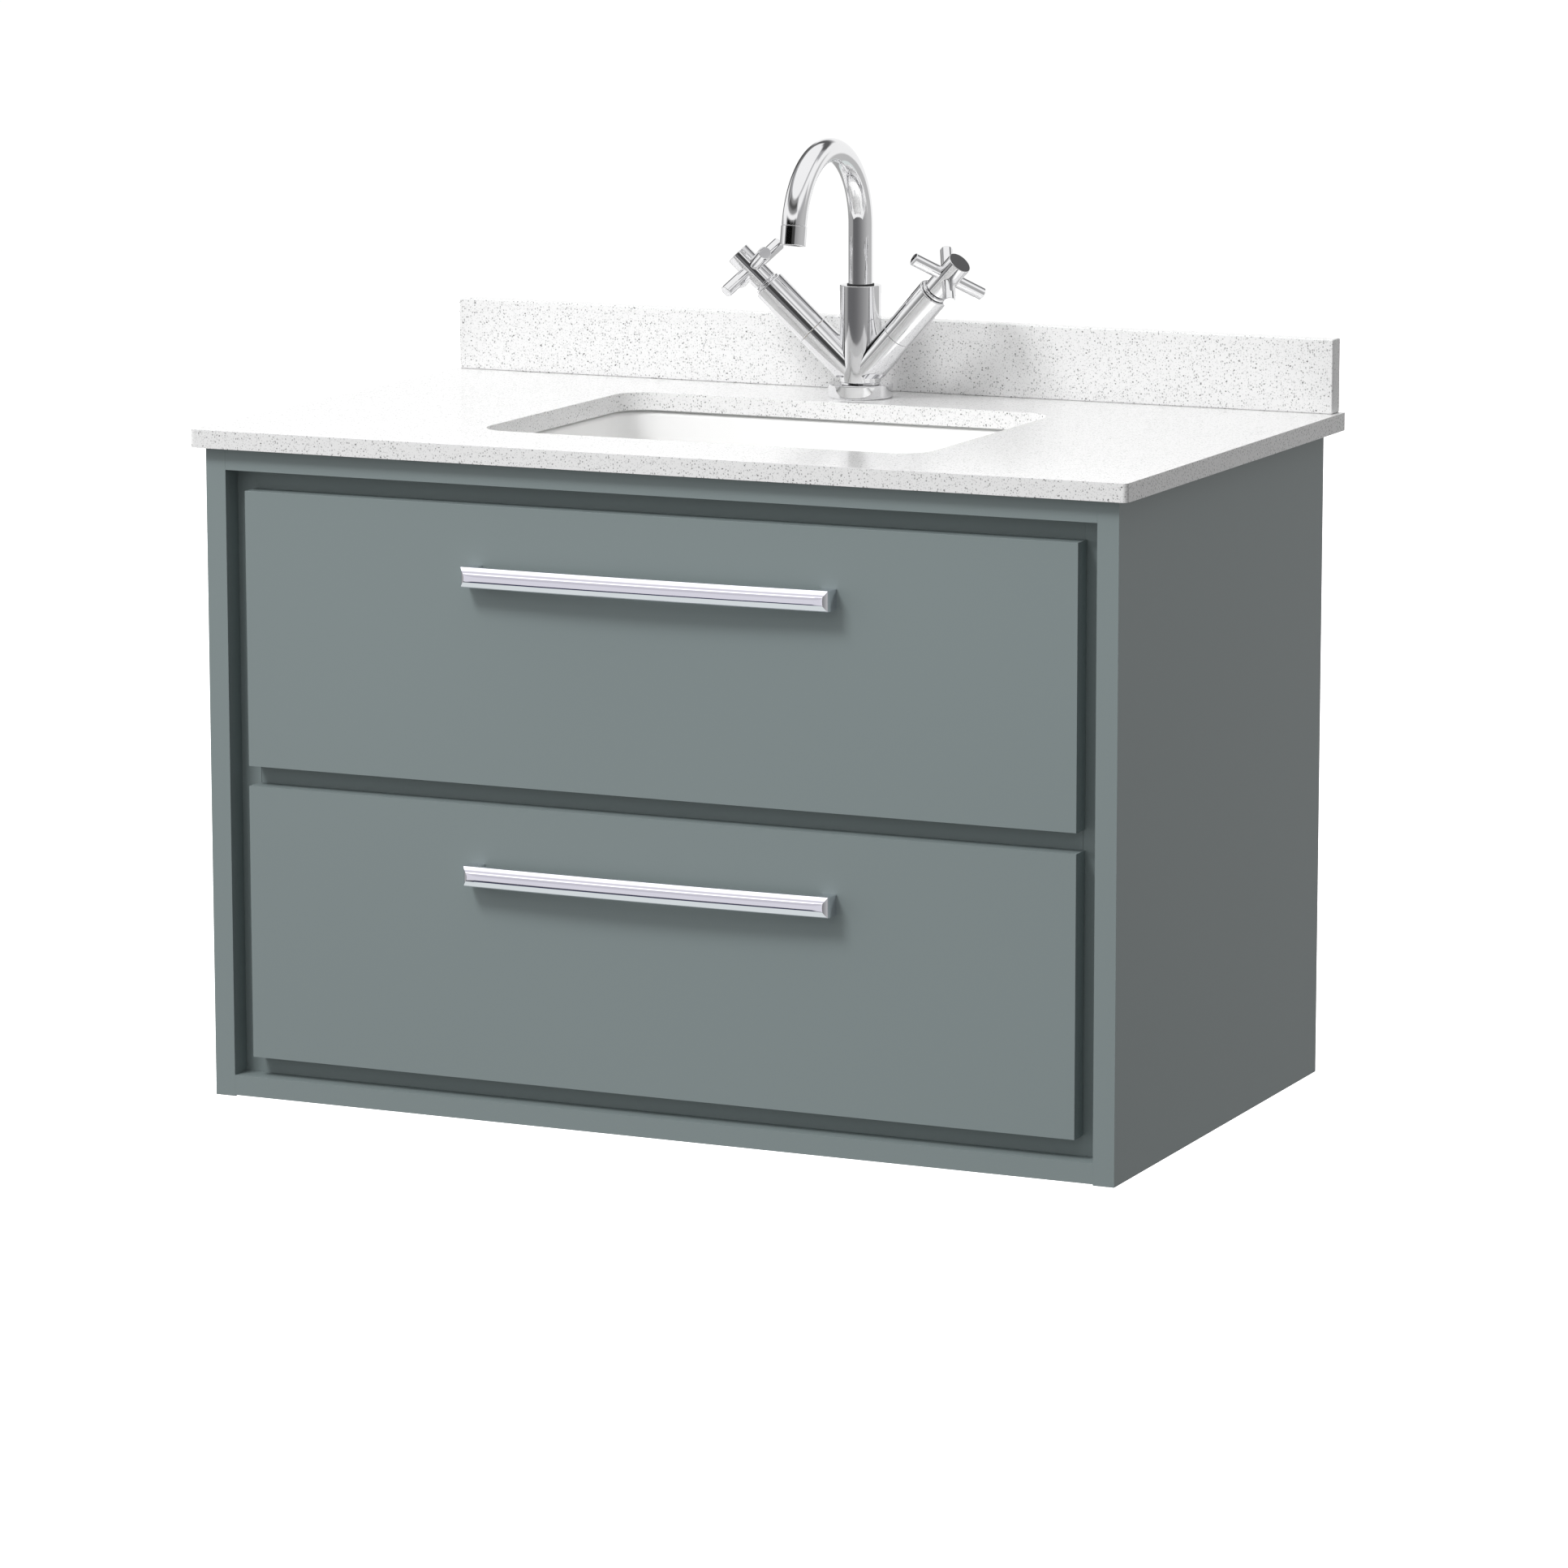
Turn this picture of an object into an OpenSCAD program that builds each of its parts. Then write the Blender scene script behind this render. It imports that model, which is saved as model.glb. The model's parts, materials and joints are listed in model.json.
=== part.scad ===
// Wall-hung vanity cabinet: two drawers, stone worktop, undermounted basin and a crosshead mixer tap.
// +Z is up, the drawers face -Y and the wall is the plane Y = 0.
// The origin is midway between the two hanging screws, on the face that meets the wall.

/* [Cabinet] */
// Width over the side panels
cab_w = 800; // [780:5:900]
// Depth of the side panels, front edge to back edge
cab_d = 455; // [450:5:480]
// Height of the side panels
cab_h = 540; // [540:5:600]
// Thickness of every cabinet board
board_t = 18; // [16:1:20]
// Space between the cabinet's back edge and the wall
wall_gap = 23; // [18:1:30]
// How far the bottom panel is raised above the ends of the side panels
bottom_lift = 1; // [0.5:0.5:4]
// Height of the hanging screws above the underside
hang_height = 454; // [452:1:456]
// Distance between the two wall screws of a row
wall_screw_spacing = 500; // [400:10:600]

/* [Drawers] */
// Gap between a drawer front and the frame round it
reveal = 16.5; // [12:0.5:18]
// Thickness of a drawer front
front_t = 18; // [16:1:20]
// How far a drawer front is set back from the frame's face
front_setback = 2; // [1:0.5:4]
// Free width at each side of a drawer box, taken up by its runner
runner_w = 12.7; // [12.7, 13]
// Thickness of the drawer box boards
box_t = 15; // [12:1:16]
// Depth of the drawer boxes behind their fronts
box_d = 380; // [372:2:390]
// Height of the upper drawer box, which passes under the basin
upper_box_h = 78; // [60:2:84]
// Height of the lower drawer box
lower_box_h = 150; // [100:5:160]
// Width of the space for the waste pipe in the upper drawer
notch_w = 200; // [160:10:240]

/* [Handles] */
// Overall length of a drawer handle
pull_len = 324; // [280:4:360]
// Height of the handle bar
pull_h = 16.5; // [12:0.5:20]
// How far the middle of the handle stands off the drawer front
pull_reach = 21; // [18:0.5:26]
// How much the bar's middle is bowed out past its ends
pull_bow = 3; // [2:0.5:4]
// Height from a drawer front's top edge down to its handle's centre
pull_drop = 56.5; // [40:0.5:80]

/* [Worktop] */
// Thickness of the worktop
top_t = 15; // [12:1:20]
// Overhang of the worktop at each end
top_side_over = 10; // [6:1:15]
// Overhang of the worktop at the front
top_front_over = 9; // [5:1:15]
// Height of the upstand above the worktop
upstand_h = 62; // [50:1:100]
// Thickness of the upstand
upstand_t = 17.5; // [12:0.5:20]
// How far each end of the upstand stops short of the worktop's end
upstand_inset = 4.8; // [0:0.1:10]

/* [Basin] */
// Width of the worktop's basin opening
bowl_w = 394; // [360:2:420]
// Front-to-back size of the basin opening
bowl_d = 286; // [270:2:290]
// Corner radius of the basin opening
bowl_r = 28; // [20:1:35]
// Distance from the frame's face back to the opening's front edge
bowl_front = 84; // [84:1:88]
// Depth of the bowl below the worktop's underside
bowl_depth = 136; // [120:2:140]
// Thickness of the ceramic
bowl_wall = 9; // [7:1:10]

/* [Tap] */
// Distance from the wall to the tap's centre
tap_back = 65; // [62:1:66]
// Diameter of the base ring
tap_base_d = 55; // [50:1:58]
// Diameter of the upright column
tap_column_d = 35; // [32:1:38]
// Height of the column above the worktop
tap_column_h = 95; // [90:1:110]
// Diameter of the two valve arms
arm_d = 28; // [26:1:30]
// Outside diameter of the spout tube
spout_d = 20.6; // [18:0.2:22]
// Radius of the spout's bend
spout_r = 68; // [60:1:70]
// Height of the bend's centre above the worktop
spout_rise = 145; // [140:1:160]
// Distance between the tips of opposite spokes
cross_span = 69; // [60:1:72]

/* [Hidden] */
$fn = 64;
eps = 0.01;            // lets a cut run just past a face
fit = 0.05;            // radial gap of a screw or shaft in its hole

// colours
paint = [0.42, 0.47, 0.47];
stone = [0.93, 0.93, 0.93];
glaze = [0.98, 0.98, 0.98];
metal = [0.80, 0.81, 0.83];
zinc = [0.62, 0.63, 0.65];
yellow_brass = [0.72, 0.58, 0.30];
black_rubber = [0.10, 0.10, 0.10];
clear_sealant = [0.86, 0.87, 0.86];
timber = [0.72, 0.60, 0.44];
white_board = [0.88, 0.88, 0.87];

// cabinet: fy(d) is the place d behind the frame's face, uz(h) the level h above the underside
front_y = -(wall_gap + cab_d);
function fy(d) = front_y + d;
function uz(h) = h - hang_height;
half_w = cab_w/2;
in_x = half_w - board_t;         // inside face of a side panel
box_x = in_x - board_t;          // inside face of a carcass side
low_h = bottom_lift + board_t - 1;  // upper face of the bottom panel
rail_h = cab_h - board_t;        // lower face of the top rail
carcass_front = front_setback + front_t + 0.5;
rail_deep = 100;                 // height of the hanging and lower rails
rail_edge = 20;                  // from a rail's edge to its screws
back_t = 6;
back_d = cab_d - board_t - back_t;  // front face of the back panel
front_rail_deep = 50;            // depth of the top rail
carcass_rail_back = 56;          // the carcass's top rail ends this far behind the frame's face
hang_top = rail_h - board_t;     // upper edge of the hanging rail
hang_low = hang_top - rail_deep;
base_h = low_h + board_t;        // upper face of the carcass base
batten_x = box_x - 24;
batten_end = 40;                 // from a batten's end to its outer screw
wall_hole_r = 3.5;
dowel_r = 4;
dowel_len = 26;
dowel_in = 15;                   // length of a dowel inside the frame's rail or panel
steady_height = base_h + rail_deep/2;
service_w = 300;                 // opening in the back panel for pipes
service_r = 30;
service_low = base_h + rail_deep + 14;
service_h = 240;

// drawer fronts
front_x = in_x - reveal;
front_low = low_h + reveal;
front_high = rail_h - reveal;
front_h = (front_high - front_low - reveal)/2;
lower_base = front_low;
upper_base = front_low + front_h + reveal;
mid_h = front_low + front_h + reveal/2;
mid_rail_h = 32;

// drawer boxes and runners
boxside_x = box_x - runner_w;    // outside face of a drawer box side
boxin_x = boxside_x - box_t;
box_front = front_setback + front_t;
box_back = box_front + box_d;
panel_t = 8;                     // drawer base
groove = 6;                      // depth of the groove that holds the drawer base
groove_up = 10;                  // height of the groove above the box's lower edge
upper_box_low = upper_base + 18;
lower_box_low = lower_base + 18;
runner_h = 45;
runner_len = 370;
runner_gauge = 1.2;
runner_front = carcass_front + 4;
upper_runner_mid = upper_box_low + 38;
lower_runner_mid = lower_box_low + 60;
notch_front = 150;               // distance from the frame's face to the notch's front wall

// handles
pull_face = front_setback;
pull_bar_t = 8;
pull_foot = 13;
pull_hole = pull_len/2 - pull_foot/2;
pull_screw_r = 2;
pull_chord = pull_len/2;
pull_curve_r = (pull_chord*pull_chord + pull_bow*pull_bow)/(2*pull_bow);
pull_face_r = 15;                // radius of the bar's rounded front

// worktop
top_low = cab_h;
top_high = top_low + top_t;
top_x = half_w + top_side_over;
top_d = top_front_over - front_y;  // from the wall to the front edge
top_corner_r = 4;
bowl_mid = bowl_front + bowl_d/2;

// basin
seal_t = 1.5;
seal_in = 3;                     // the seal lies from 3 to 12 outside the cut-out
seal_out = 12;
reveal_in = 2;                   // how far the bowl stands back under the stone
flange = 18;
flange_t = 12;
flange_top = top_low - seal_t;
floor_h = top_low - bowl_depth;
floor_t = 12;
bowl_edge_r = 42;                // radius between the bowl's walls and its floor
dish = 3;                        // fall of the floor towards the waste
dish_r = 98;
duct_w = 36;                     // overflow duct: width, and depth in front of the bowl
duct_d = 24;
duct_in = 12;                    // half its inside width
duct_far = 20;                   // its inside runs from 20 to 12 in front of the bowl
duct_near = 12;
duct_h = 6;
overflow_h = 500;
overflow_r = 12;
overflow_rim = 16;
clip_x = bowl_w/2 + 35;          // the clips' screws
clip_w = 22;
clip_t = 2.5;
clip_web = 2;                    // thickness of the upright step
clip_step = -16.5;               // the step's face, and the end of the lip, from the screw
clip_lip = -23.5;
clip_drop = -flange_t - seal_t;  // top of the lip

// waste
waste_r = 22.5;                  // hole through the ceramic
waste_boss_r = 36;
waste_tube_r = 20.955;           // threaded tail
waste_neck_r = 20;               // plain neck above the thread
tail_seal_t = 3;
nut_drop = 13;                   // seal and nut together
waste_flange_r = 32;
flange_disc_t = 3;
washer_t = 1;
seat_h = floor_h - dish - flange_disc_t - washer_t;  // recess that the flange sits in
waste_under = floor_h - 18;      // underside of the ceramic round the waste
duct_low = waste_under + 4;
waste_end = waste_under - 50;
spider_h = waste_under - 18;     // cross bar that guides the plug's stem
plug_gap = 0.3;                  // the closed plug stands this far above the flange
stem_r = 5;
nut_r = 30;                      // over the corners

// tap
tap_y = -tap_back;
tap_low = top_high;
base_ring_h = 12;
base_ring_r = 1.2;               // rounding of its top edge
column_low = tap_low + base_ring_h;
column_top = tap_low + tap_column_h;
arm_root = tap_low + 15;         // level where the arms' axes cross the column's axis
arm_tilt = 45;
arm_swing = 14.3;                // how far the arms point forward
arm_clip = tap_low + 17.5;       // the arms are cut off flat at this level
arm_joint = 57.5;                // distances along an arm from the column's axis
arm_end = 111;
arm_bore_from = 40;              // start of the bore for the cartridge
cartridge_step = 76;
spindle_from = 74;
neck_r = 12;
neck_gap = 0.3;                  // between the neck ring and the turning hub
hub_low = 114;
hub_end = 148.5;
hub_d = 20.8;
spoke_at = 131;
spoke_d = 10.8;
spoke_turn = 50;
spindle_r = 4;
shank_r = 15.8;
shank_bore_r = 12.4;
shank_low = top_low - 42;
tap_hole_r = 19;
inlet_x = 6.2;
inlet_r = 4.5;
inlet_deep = 15;
spout_bore_r = spout_d/2 - 2;
spout_foot = 40;                 // length of spout inside the column
spout_sweep = 170;
spout_ring_t = 1;
aerator_len = 17;
bend_h = tap_low + spout_rise;

module board(x1, x2, d1, d2, h1, h2)
  translate([x1, fy(d1), uz(h1)]) cube([x2 - x1, d2 - d1, h2 - h1]);
// the same from x1 to x2 on the right (s = 1) or mirrored on the left (s = -1)
module side_board(s, x1, x2, d1, d2, h1, h2)
  board(s > 0 ? x1 : -x2, s > 0 ? x2 : -x1, d1, d2, h1, h2);

module round_rect(w, d, r) {
  square([w - 2*r, d], center = true);
  square([w, d - 2*r], center = true);
  for (sx = [-1, 1], sy = [-1, 1]) translate([sx*(w/2 - r), sy*(d/2 - r)]) circle(r);
}

// a screw pointing along +Z with its head's outer face at the origin
module screw(r, len, head_r, head_t, gap = 0) {
  cylinder(r = head_r + gap, h = head_t);
  cylinder(r = r + gap, h = len + gap);
}

// ---- fixings ----

// dowels between the side panels and the frame's top rail and bottom panel
module dowel_places() {
  for (s = [-1, 1], level = [rail_h + board_t/2, bottom_lift + (board_t - 1)/2], d = [16, 36])
    translate([s*(in_x - dowel_in), fy(d), uz(level)]) rotate([0, s*90, 0]) children();
}
module dowel_shape(gap) cylinder(r = dowel_r + gap, h = dowel_len + gap);

// screws through the carcass sides into the boards between them
module carcass_screw_places() {
  for (s = [-1, 1]) {
    for (p = [[60, base_h - board_t/2], [380, base_h - board_t/2], [40, rail_h - board_t/2]])
      translate([s*in_x, fy(p[0]), uz(p[1])]) rotate([0, -s*90, 0]) children();
    for (h = [hang_low + rail_edge, hang_top - rail_edge, base_h + rail_edge, base_h + rail_deep - rail_edge])
      translate([s*in_x, fy(cab_d - board_t/2), uz(h)]) rotate([0, -s*90, 0]) children();
    translate([s*in_x, fy(carcass_front + board_t/2), uz(mid_h)]) rotate([0, -s*90, 0]) children();
  }
}
module carcass_screw_shape(gap = 0) screw(r = 3, len = 46, head_r = 5, head_t = 3, gap = gap);

// screws from inside the carcass sides into the outer side panels
module panel_screw_places() {
  for (s = [-1, 1], d = [70, 400], h = [220, 440])
    translate([s*box_x, fy(d), uz(h)]) rotate([0, s*90, 0]) children();
}
module panel_screw_shape(gap = 0) screw(r = 2, len = 30, head_r = 4, head_t = 2.5, gap = gap);

// screws through the rails into the wall battens
module batten_screw_places() {
  for (s = [-1, 0, 1], h = [hang_low + 30, base_h + 30])
    translate([s*(batten_x - batten_end), fy(cab_d - board_t), uz(h)]) rotate([-90, 0, 0]) children();
}
module batten_screw_shape(gap = 0) screw(r = 2.5, len = 36, head_r = 4.5, head_t = 3, gap = gap);

// clearance holes for the screws into the wall
module wall_holes() {
  for (s = [-1, 1], h = [hang_height, steady_height])
    translate([s*wall_screw_spacing/2, fy(back_d) - eps, uz(h)]) rotate([-90, 0, 0])
      cylinder(r = wall_hole_r, h = cab_d - back_d + wall_gap + 2*eps);
}

// ---- cabinet ----

module side_panel(s) color(paint) difference() {
  side_board(s, in_x, half_w, 0, cab_d, 0, cab_h);
  dowel_places() dowel_shape(fit);
  panel_screw_places() panel_screw_shape(fit);
}
module top_rail() color(paint) difference() {
  board(-in_x, in_x, 0, front_rail_deep, rail_h, cab_h);
  dowel_places() dowel_shape(fit);
}
module bottom_panel() color(paint) difference() {
  board(-in_x, in_x, 0, cab_d, bottom_lift, low_h);
  dowel_places() dowel_shape(fit);
}
module carcass_side(s) color(paint) difference() {
  side_board(s, box_x, in_x, carcass_front, cab_d, low_h, rail_h);
  carcass_screw_places() carcass_screw_shape(fit);
  panel_screw_places() panel_screw_shape(fit);
}
module carcass_base() color(paint) difference() {
  board(-box_x, box_x, carcass_front, cab_d, low_h, base_h);
  carcass_screw_places() carcass_screw_shape(fit);
}
module carcass_top_rail() color(paint) difference() {
  board(-box_x, box_x, carcass_front, carcass_rail_back, rail_h - board_t, rail_h);
  carcass_screw_places() carcass_screw_shape(fit);
}
module carcass_mid_rail() color(paint) difference() {
  board(-box_x, box_x, carcass_front, carcass_front + board_t, mid_h - mid_rail_h/2, mid_h + mid_rail_h/2);
  carcass_screw_places() carcass_screw_shape(fit);
}
module back_panel() color(white_board) difference() {
  board(-box_x, box_x, back_d, back_d + back_t, base_h, hang_top);
  translate([0, fy(back_d) - eps, uz(service_low + service_h/2)]) rotate([-90, 0, 0])
    linear_extrude(back_t + 2*eps) round_rect(service_w, service_h, service_r);
  wall_holes();
}
module rail(h1, h2) color(timber) difference() {
  board(-box_x, box_x, cab_d - board_t, cab_d, h1, h2);
  carcass_screw_places() carcass_screw_shape(fit);
  batten_screw_places() batten_screw_shape(fit);
  wall_holes();
}
module hanging_rail() rail(hang_low, hang_top);
module lower_rail() rail(base_h, base_h + rail_deep);
module batten(h1, h2) color(timber) difference() {
  board(-batten_x, batten_x, cab_d, cab_d + wall_gap, h1, h2);
  batten_screw_places() batten_screw_shape(fit);
  wall_holes();
}
module wall_batten_upper() batten(hang_low, hang_top);
module wall_batten_lower() batten(base_h, base_h + rail_deep);
module frame_dowels() color(timber) dowel_places() dowel_shape(0);
module carcass_screws() color(zinc) carcass_screw_places() carcass_screw_shape();
module panel_screws() color(zinc) panel_screw_places() panel_screw_shape();
module batten_screws() color(zinc) batten_screw_places() batten_screw_shape();

// ---- worktop ----

module worktop() color(stone) difference() {
  translate([0, -top_d/2, uz(top_low)]) linear_extrude(top_t) union() {
    round_rect(2*top_x, top_d, top_corner_r);
    translate([-top_x, 0]) square([2*top_x, top_d/2]);
  }
  translate([0, fy(bowl_mid), uz(top_low) - eps]) linear_extrude(top_t + 2*eps)
    round_rect(bowl_w, bowl_d, bowl_r);
  translate([0, tap_y, uz(top_low) - eps]) cylinder(r = tap_hole_r, h = top_t + 2*eps);
  clip_places() clip_screw_shape(fit);
}
module upstand() color(stone)
  translate([-(top_x - upstand_inset), -upstand_t, uz(top_high)])
    cube([2*(top_x - upstand_inset), upstand_t, upstand_h]);

// ---- basin ----

// an upright slab of the bowl's body, w wide and with rounded lower edges, 2*far long
module bowl_slab(w, low, high, r, far) rotate([90, 0, 0]) linear_extrude(2*far, center = true) {
  translate([-w/2, low + r]) square([w, high - low - r]);
  translate([-w/2 + r, low]) square([w - 2*r, high - low]);
  for (s = [-1, 1]) translate([s*(w/2 - r), low + r]) circle(r);
}
// the bowl's body with every side moved out by grow
module bowl_form(grow, low, high) {
  w = bowl_w + 2*(reveal_in + grow);
  d = bowl_d + 2*(reveal_in + grow);
  translate([0, fy(bowl_mid), uz(0)]) intersection() {
    translate([0, 0, low]) linear_extrude(high - low) round_rect(w, d, bowl_r + grow);
    bowl_slab(w, low, high, bowl_edge_r + grow, d);
    rotate(90) bowl_slab(d, low, high, bowl_edge_r + grow, w);
  }
}
module basin() color(glaze) difference() {
  union() {
    bowl_form(bowl_wall, floor_h - floor_t, flange_top);
    translate([0, fy(bowl_mid), uz(flange_top - flange_t)]) linear_extrude(flange_t)
      round_rect(bowl_w + 2*flange, bowl_d + 2*flange, bowl_r + flange);
    board(-duct_w/2, duct_w/2, bowl_front - duct_d, bowl_front, waste_under, overflow_h + 20);
    board(-duct_w/2, duct_w/2, bowl_front - duct_d, bowl_mid, waste_under, floor_h - dish);
    on_waste(waste_under) cylinder(r = waste_boss_r, h = floor_t);
  }
  bowl_form(0, floor_h, flange_top + 1);
  on_waste(floor_h - dish) cylinder(r1 = waste_flange_r, r2 = dish_r, h = dish + eps);
  board(-duct_in, duct_in, bowl_front - duct_far, bowl_front - duct_near, duct_low, overflow_h + 14);
  board(-duct_in, duct_in, bowl_front - duct_far, bowl_mid, duct_low, duct_low + duct_h);
  translate([0, fy(bowl_front - 16), uz(overflow_h)]) rotate([-90, 0, 0])
    cylinder(r = overflow_r, h = 20);
  on_waste(seat_h) cylinder(r = waste_flange_r + 0.4, h = 5);
  on_waste(waste_under - 1) cylinder(r = waste_r, h = 40);
}
module basin_seal() color(clear_sealant) difference() {
  translate([0, fy(bowl_mid), uz(flange_top)]) linear_extrude(seal_t)
    round_rect(bowl_w + 2*seal_out, bowl_d + 2*seal_out, bowl_r + seal_out);
  translate([0, fy(bowl_mid), uz(flange_top) - eps]) linear_extrude(seal_t + 2*eps)
    round_rect(bowl_w + 2*seal_in, bowl_d + 2*seal_in, bowl_r + seal_in);
}

// stepped clips that hold the flange up against the worktop
module clip_places() {
  for (s = [-1, 1], d = [-70, 70])
    translate([s*clip_x, fy(bowl_mid + d), uz(top_low)]) rotate([0, 0, s > 0 ? 0 : 180]) children();
}
module clip_screw_shape(gap = 0)
  translate([0, 0, -6]) screw(r = 2.5, len = 15, head_r = 4.5, head_t = 3.5, gap = gap);
module basin_clips() color(zinc) clip_places() difference() {
  rotate([90, 0, 0]) linear_extrude(clip_w, center = true)
    polygon([[clip_step + clip_web, -clip_t], [12, -clip_t], [12, 0], [clip_step, 0], [clip_step, clip_drop],
             [clip_lip, clip_drop], [clip_lip, clip_drop - clip_t],
             [clip_step + clip_web, clip_drop - clip_t]]);
  translate([0, 0, -4]) cylinder(r = 2.5 + fit, h = 6);
}
module basin_clip_screws() color(zinc) clip_places() clip_screw_shape();
module overflow_ring() color(metal)
  translate([0, fy(bowl_front - reveal_in), uz(overflow_h)]) rotate([-90, 0, 0]) difference() {
    union() {
      rotate_extrude() polygon([[0, 0], [overflow_rim, 0], [overflow_rim - 1, 1.8], [0, 1.8]]);
      translate([0, 0, -6]) cylinder(r = overflow_r - fit, h = 7);
    }
    translate([0, 0, -7]) cylinder(r = overflow_r - 2, h = 10);
  }

// ---- waste ----

module on_waste(h) translate([0, fy(bowl_mid), uz(h)]) children();
module waste_body() color(metal) difference() {
  union() {
    on_waste(seat_h + washer_t) cylinder(r = waste_flange_r, h = flange_disc_t);
    on_waste(waste_end) cylinder(r = waste_tube_r, h = waste_under - nut_drop - waste_end);
    on_waste(waste_under - nut_drop)
      cylinder(r = waste_neck_r, h = seat_h + flange_disc_t - waste_under + nut_drop);
  }
  difference() {
    on_waste(waste_end - 1) cylinder(r = waste_tube_r - 3, h = 100);
    on_waste(spider_h) difference() {
      union() {
        cylinder(r = 8, h = 12);
        for (a = [0, 90]) rotate(a) translate([-20, -1.5, 0]) cube([40, 3, 6]);
      }
      translate([0, 0, -1]) cylinder(r = stem_r + fit, h = 20);
    }
  }
  for (a = [0, 90]) on_waste(duct_low) rotate(a) translate([-30, -7, 0]) cube([60, 14, 5]);
}
module waste_seals() color(black_rubber) {
  on_waste(seat_h) difference() {
    cylinder(r = waste_flange_r - 2, h = washer_t);
    translate([0, 0, -1]) cylinder(r = waste_r, h = 3);
  }
  on_waste(waste_under - tail_seal_t) difference() {
    cylinder(r = nut_r, h = tail_seal_t);
    translate([0, 0, -1]) cylinder(r = waste_tube_r + fit, h = 5);
  }
}
module waste_backnut() color(yellow_brass) on_waste(waste_under - nut_drop) difference() {
  cylinder(r = nut_r, h = nut_drop - tail_seal_t, $fn = 6);
  translate([0, 0, -1]) cylinder(r = waste_tube_r + fit, h = 12);
}
module waste_plug() color(metal) on_waste(floor_h - dish + plug_gap) {
  rotate_extrude() polygon([[0, 0], [30, 0], [31, 1], [31, 3], [29.5, 4.5], [20, 6], [10, 6.8], [0, 7]]);
  translate([0, 0, -5]) cylinder(r = 14, h = 5.5);
  translate([0, 0, spider_h - floor_h]) cylinder(r = stem_r, h = floor_h - spider_h + 1);
}

// ---- tap ----

module on_tap(h) translate([0, tap_y, uz(h)]) children();
// local +Z runs out along the right (s = 1) or left (s = -1) arm
module on_arm(s) on_tap(arm_root)
  rotate([0, arm_tilt, s > 0 ? -arm_swing : 180 + arm_swing]) children();

module tap_base_ring() color(metal) on_tap(tap_low) rotate_extrude() {
  difference() {
    translate([shank_r + fit, 0]) square([tap_base_d/2 - shank_r - fit, base_ring_h]);
    translate([tap_base_d/2 - base_ring_r, base_ring_h - base_ring_r]) difference() {
      square(2*base_ring_r);
      circle(base_ring_r);
    }
  }
}
module tap_body() color(metal) difference() {
  union() {
    on_tap(column_low) cylinder(d = tap_column_d, h = column_top - column_low);
    for (s = [-1, 1]) difference() {
      on_arm(s) translate([0, 0, 4]) rotate(90) cylinder(d = arm_d, h = arm_joint - 4);
      on_tap(column_low - 20) cylinder(r = 60, h = arm_clip - column_low + 20);
    }
  }
  on_tap(column_top - spout_foot) cylinder(r = spout_d/2 + fit, h = spout_foot + 1);
  for (s = [-1, 1]) {
    on_tap(column_low - 1) translate([s*inlet_x, 0, 0]) cylinder(r = inlet_r, h = inlet_deep + 1);
    on_arm(s) translate([0, 0, arm_bore_from]) cylinder(r = arm_d/2 - 3, h = arm_joint);
  }
}
module tap_shank() color(yellow_brass) on_tap(shank_low) difference() {
  cylinder(r = shank_r, h = column_low - shank_low);
  translate([0, 0, -1]) cylinder(r = shank_bore_r, h = column_low - shank_low + 2);
}
module tap_backnut() color(yellow_brass) on_tap(top_low - 9) difference() {
  union() {
    translate([0, 0, 7]) cylinder(r = 22, h = 2);
    cylinder(r = 22, h = 7.5, $fn = 6);
  }
  translate([0, 0, -1]) cylinder(r = shank_r + fit, h = 12);
}
module valve_sleeves() color(metal) for (s = [-1, 1]) on_arm(s) difference() {
  translate([0, 0, arm_joint]) rotate_extrude()
    polygon([[arm_d/2 - 3, 0], [arm_d/2 - 0.4, 0], [arm_d/2, 0.5], [arm_d/2, arm_end - arm_joint - 0.8],
             [arm_d/2 - 0.8, arm_end - arm_joint], [9, arm_end - arm_joint], [9, arm_end - arm_joint - 4],
             [arm_d/2 - 3, arm_end - arm_joint - 4]]);
}
module valve_cartridges() color(yellow_brass) for (s = [-1, 1]) on_arm(s) difference() {
  union() {
    translate([0, 0, arm_bore_from + 1]) cylinder(r = arm_d/2 - 3.2, h = cartridge_step - arm_bore_from);
    translate([0, 0, cartridge_step]) cylinder(r = 8, h = arm_end - cartridge_step);
  }
  translate([0, 0, spindle_from - 4]) cylinder(r = spindle_r + fit, h = 50);
}
module valve_neck_rings() color(metal) for (s = [-1, 1]) on_arm(s)
  translate([0, 0, arm_end]) difference() {
    cylinder(r = neck_r, h = hub_low - arm_end - neck_gap);
    translate([0, 0, -1]) cylinder(r = 9, h = 6);
  }
module cross_handle(s) color(metal) on_arm(s) {
  translate([0, 0, hub_low]) rotate_extrude()
    polygon([[0, 0], [hub_d/2, 0], [hub_d/2, hub_end - hub_low - 0.5], [hub_d/2 - 0.5, hub_end - hub_low],
             [0, hub_end - hub_low]]);
  for (a = [0, 90]) translate([0, 0, spoke_at]) rotate([0, 90, s*spoke_turn + a])
    cylinder(d = spoke_d, h = cross_span, center = true);
  translate([0, 0, spindle_from]) cylinder(r = spindle_r, h = hub_low - spindle_from + 1);
}
module hot_handle() cross_handle(-1);
module cold_handle() cross_handle(1);
module spout_ring() color(black_rubber) on_tap(column_top) difference() {
  cylinder(r = spout_d/2 + 1.2, h = spout_ring_t);
  translate([0, 0, -1]) cylinder(r = spout_d/2 + fit, h = 3);
}

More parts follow.
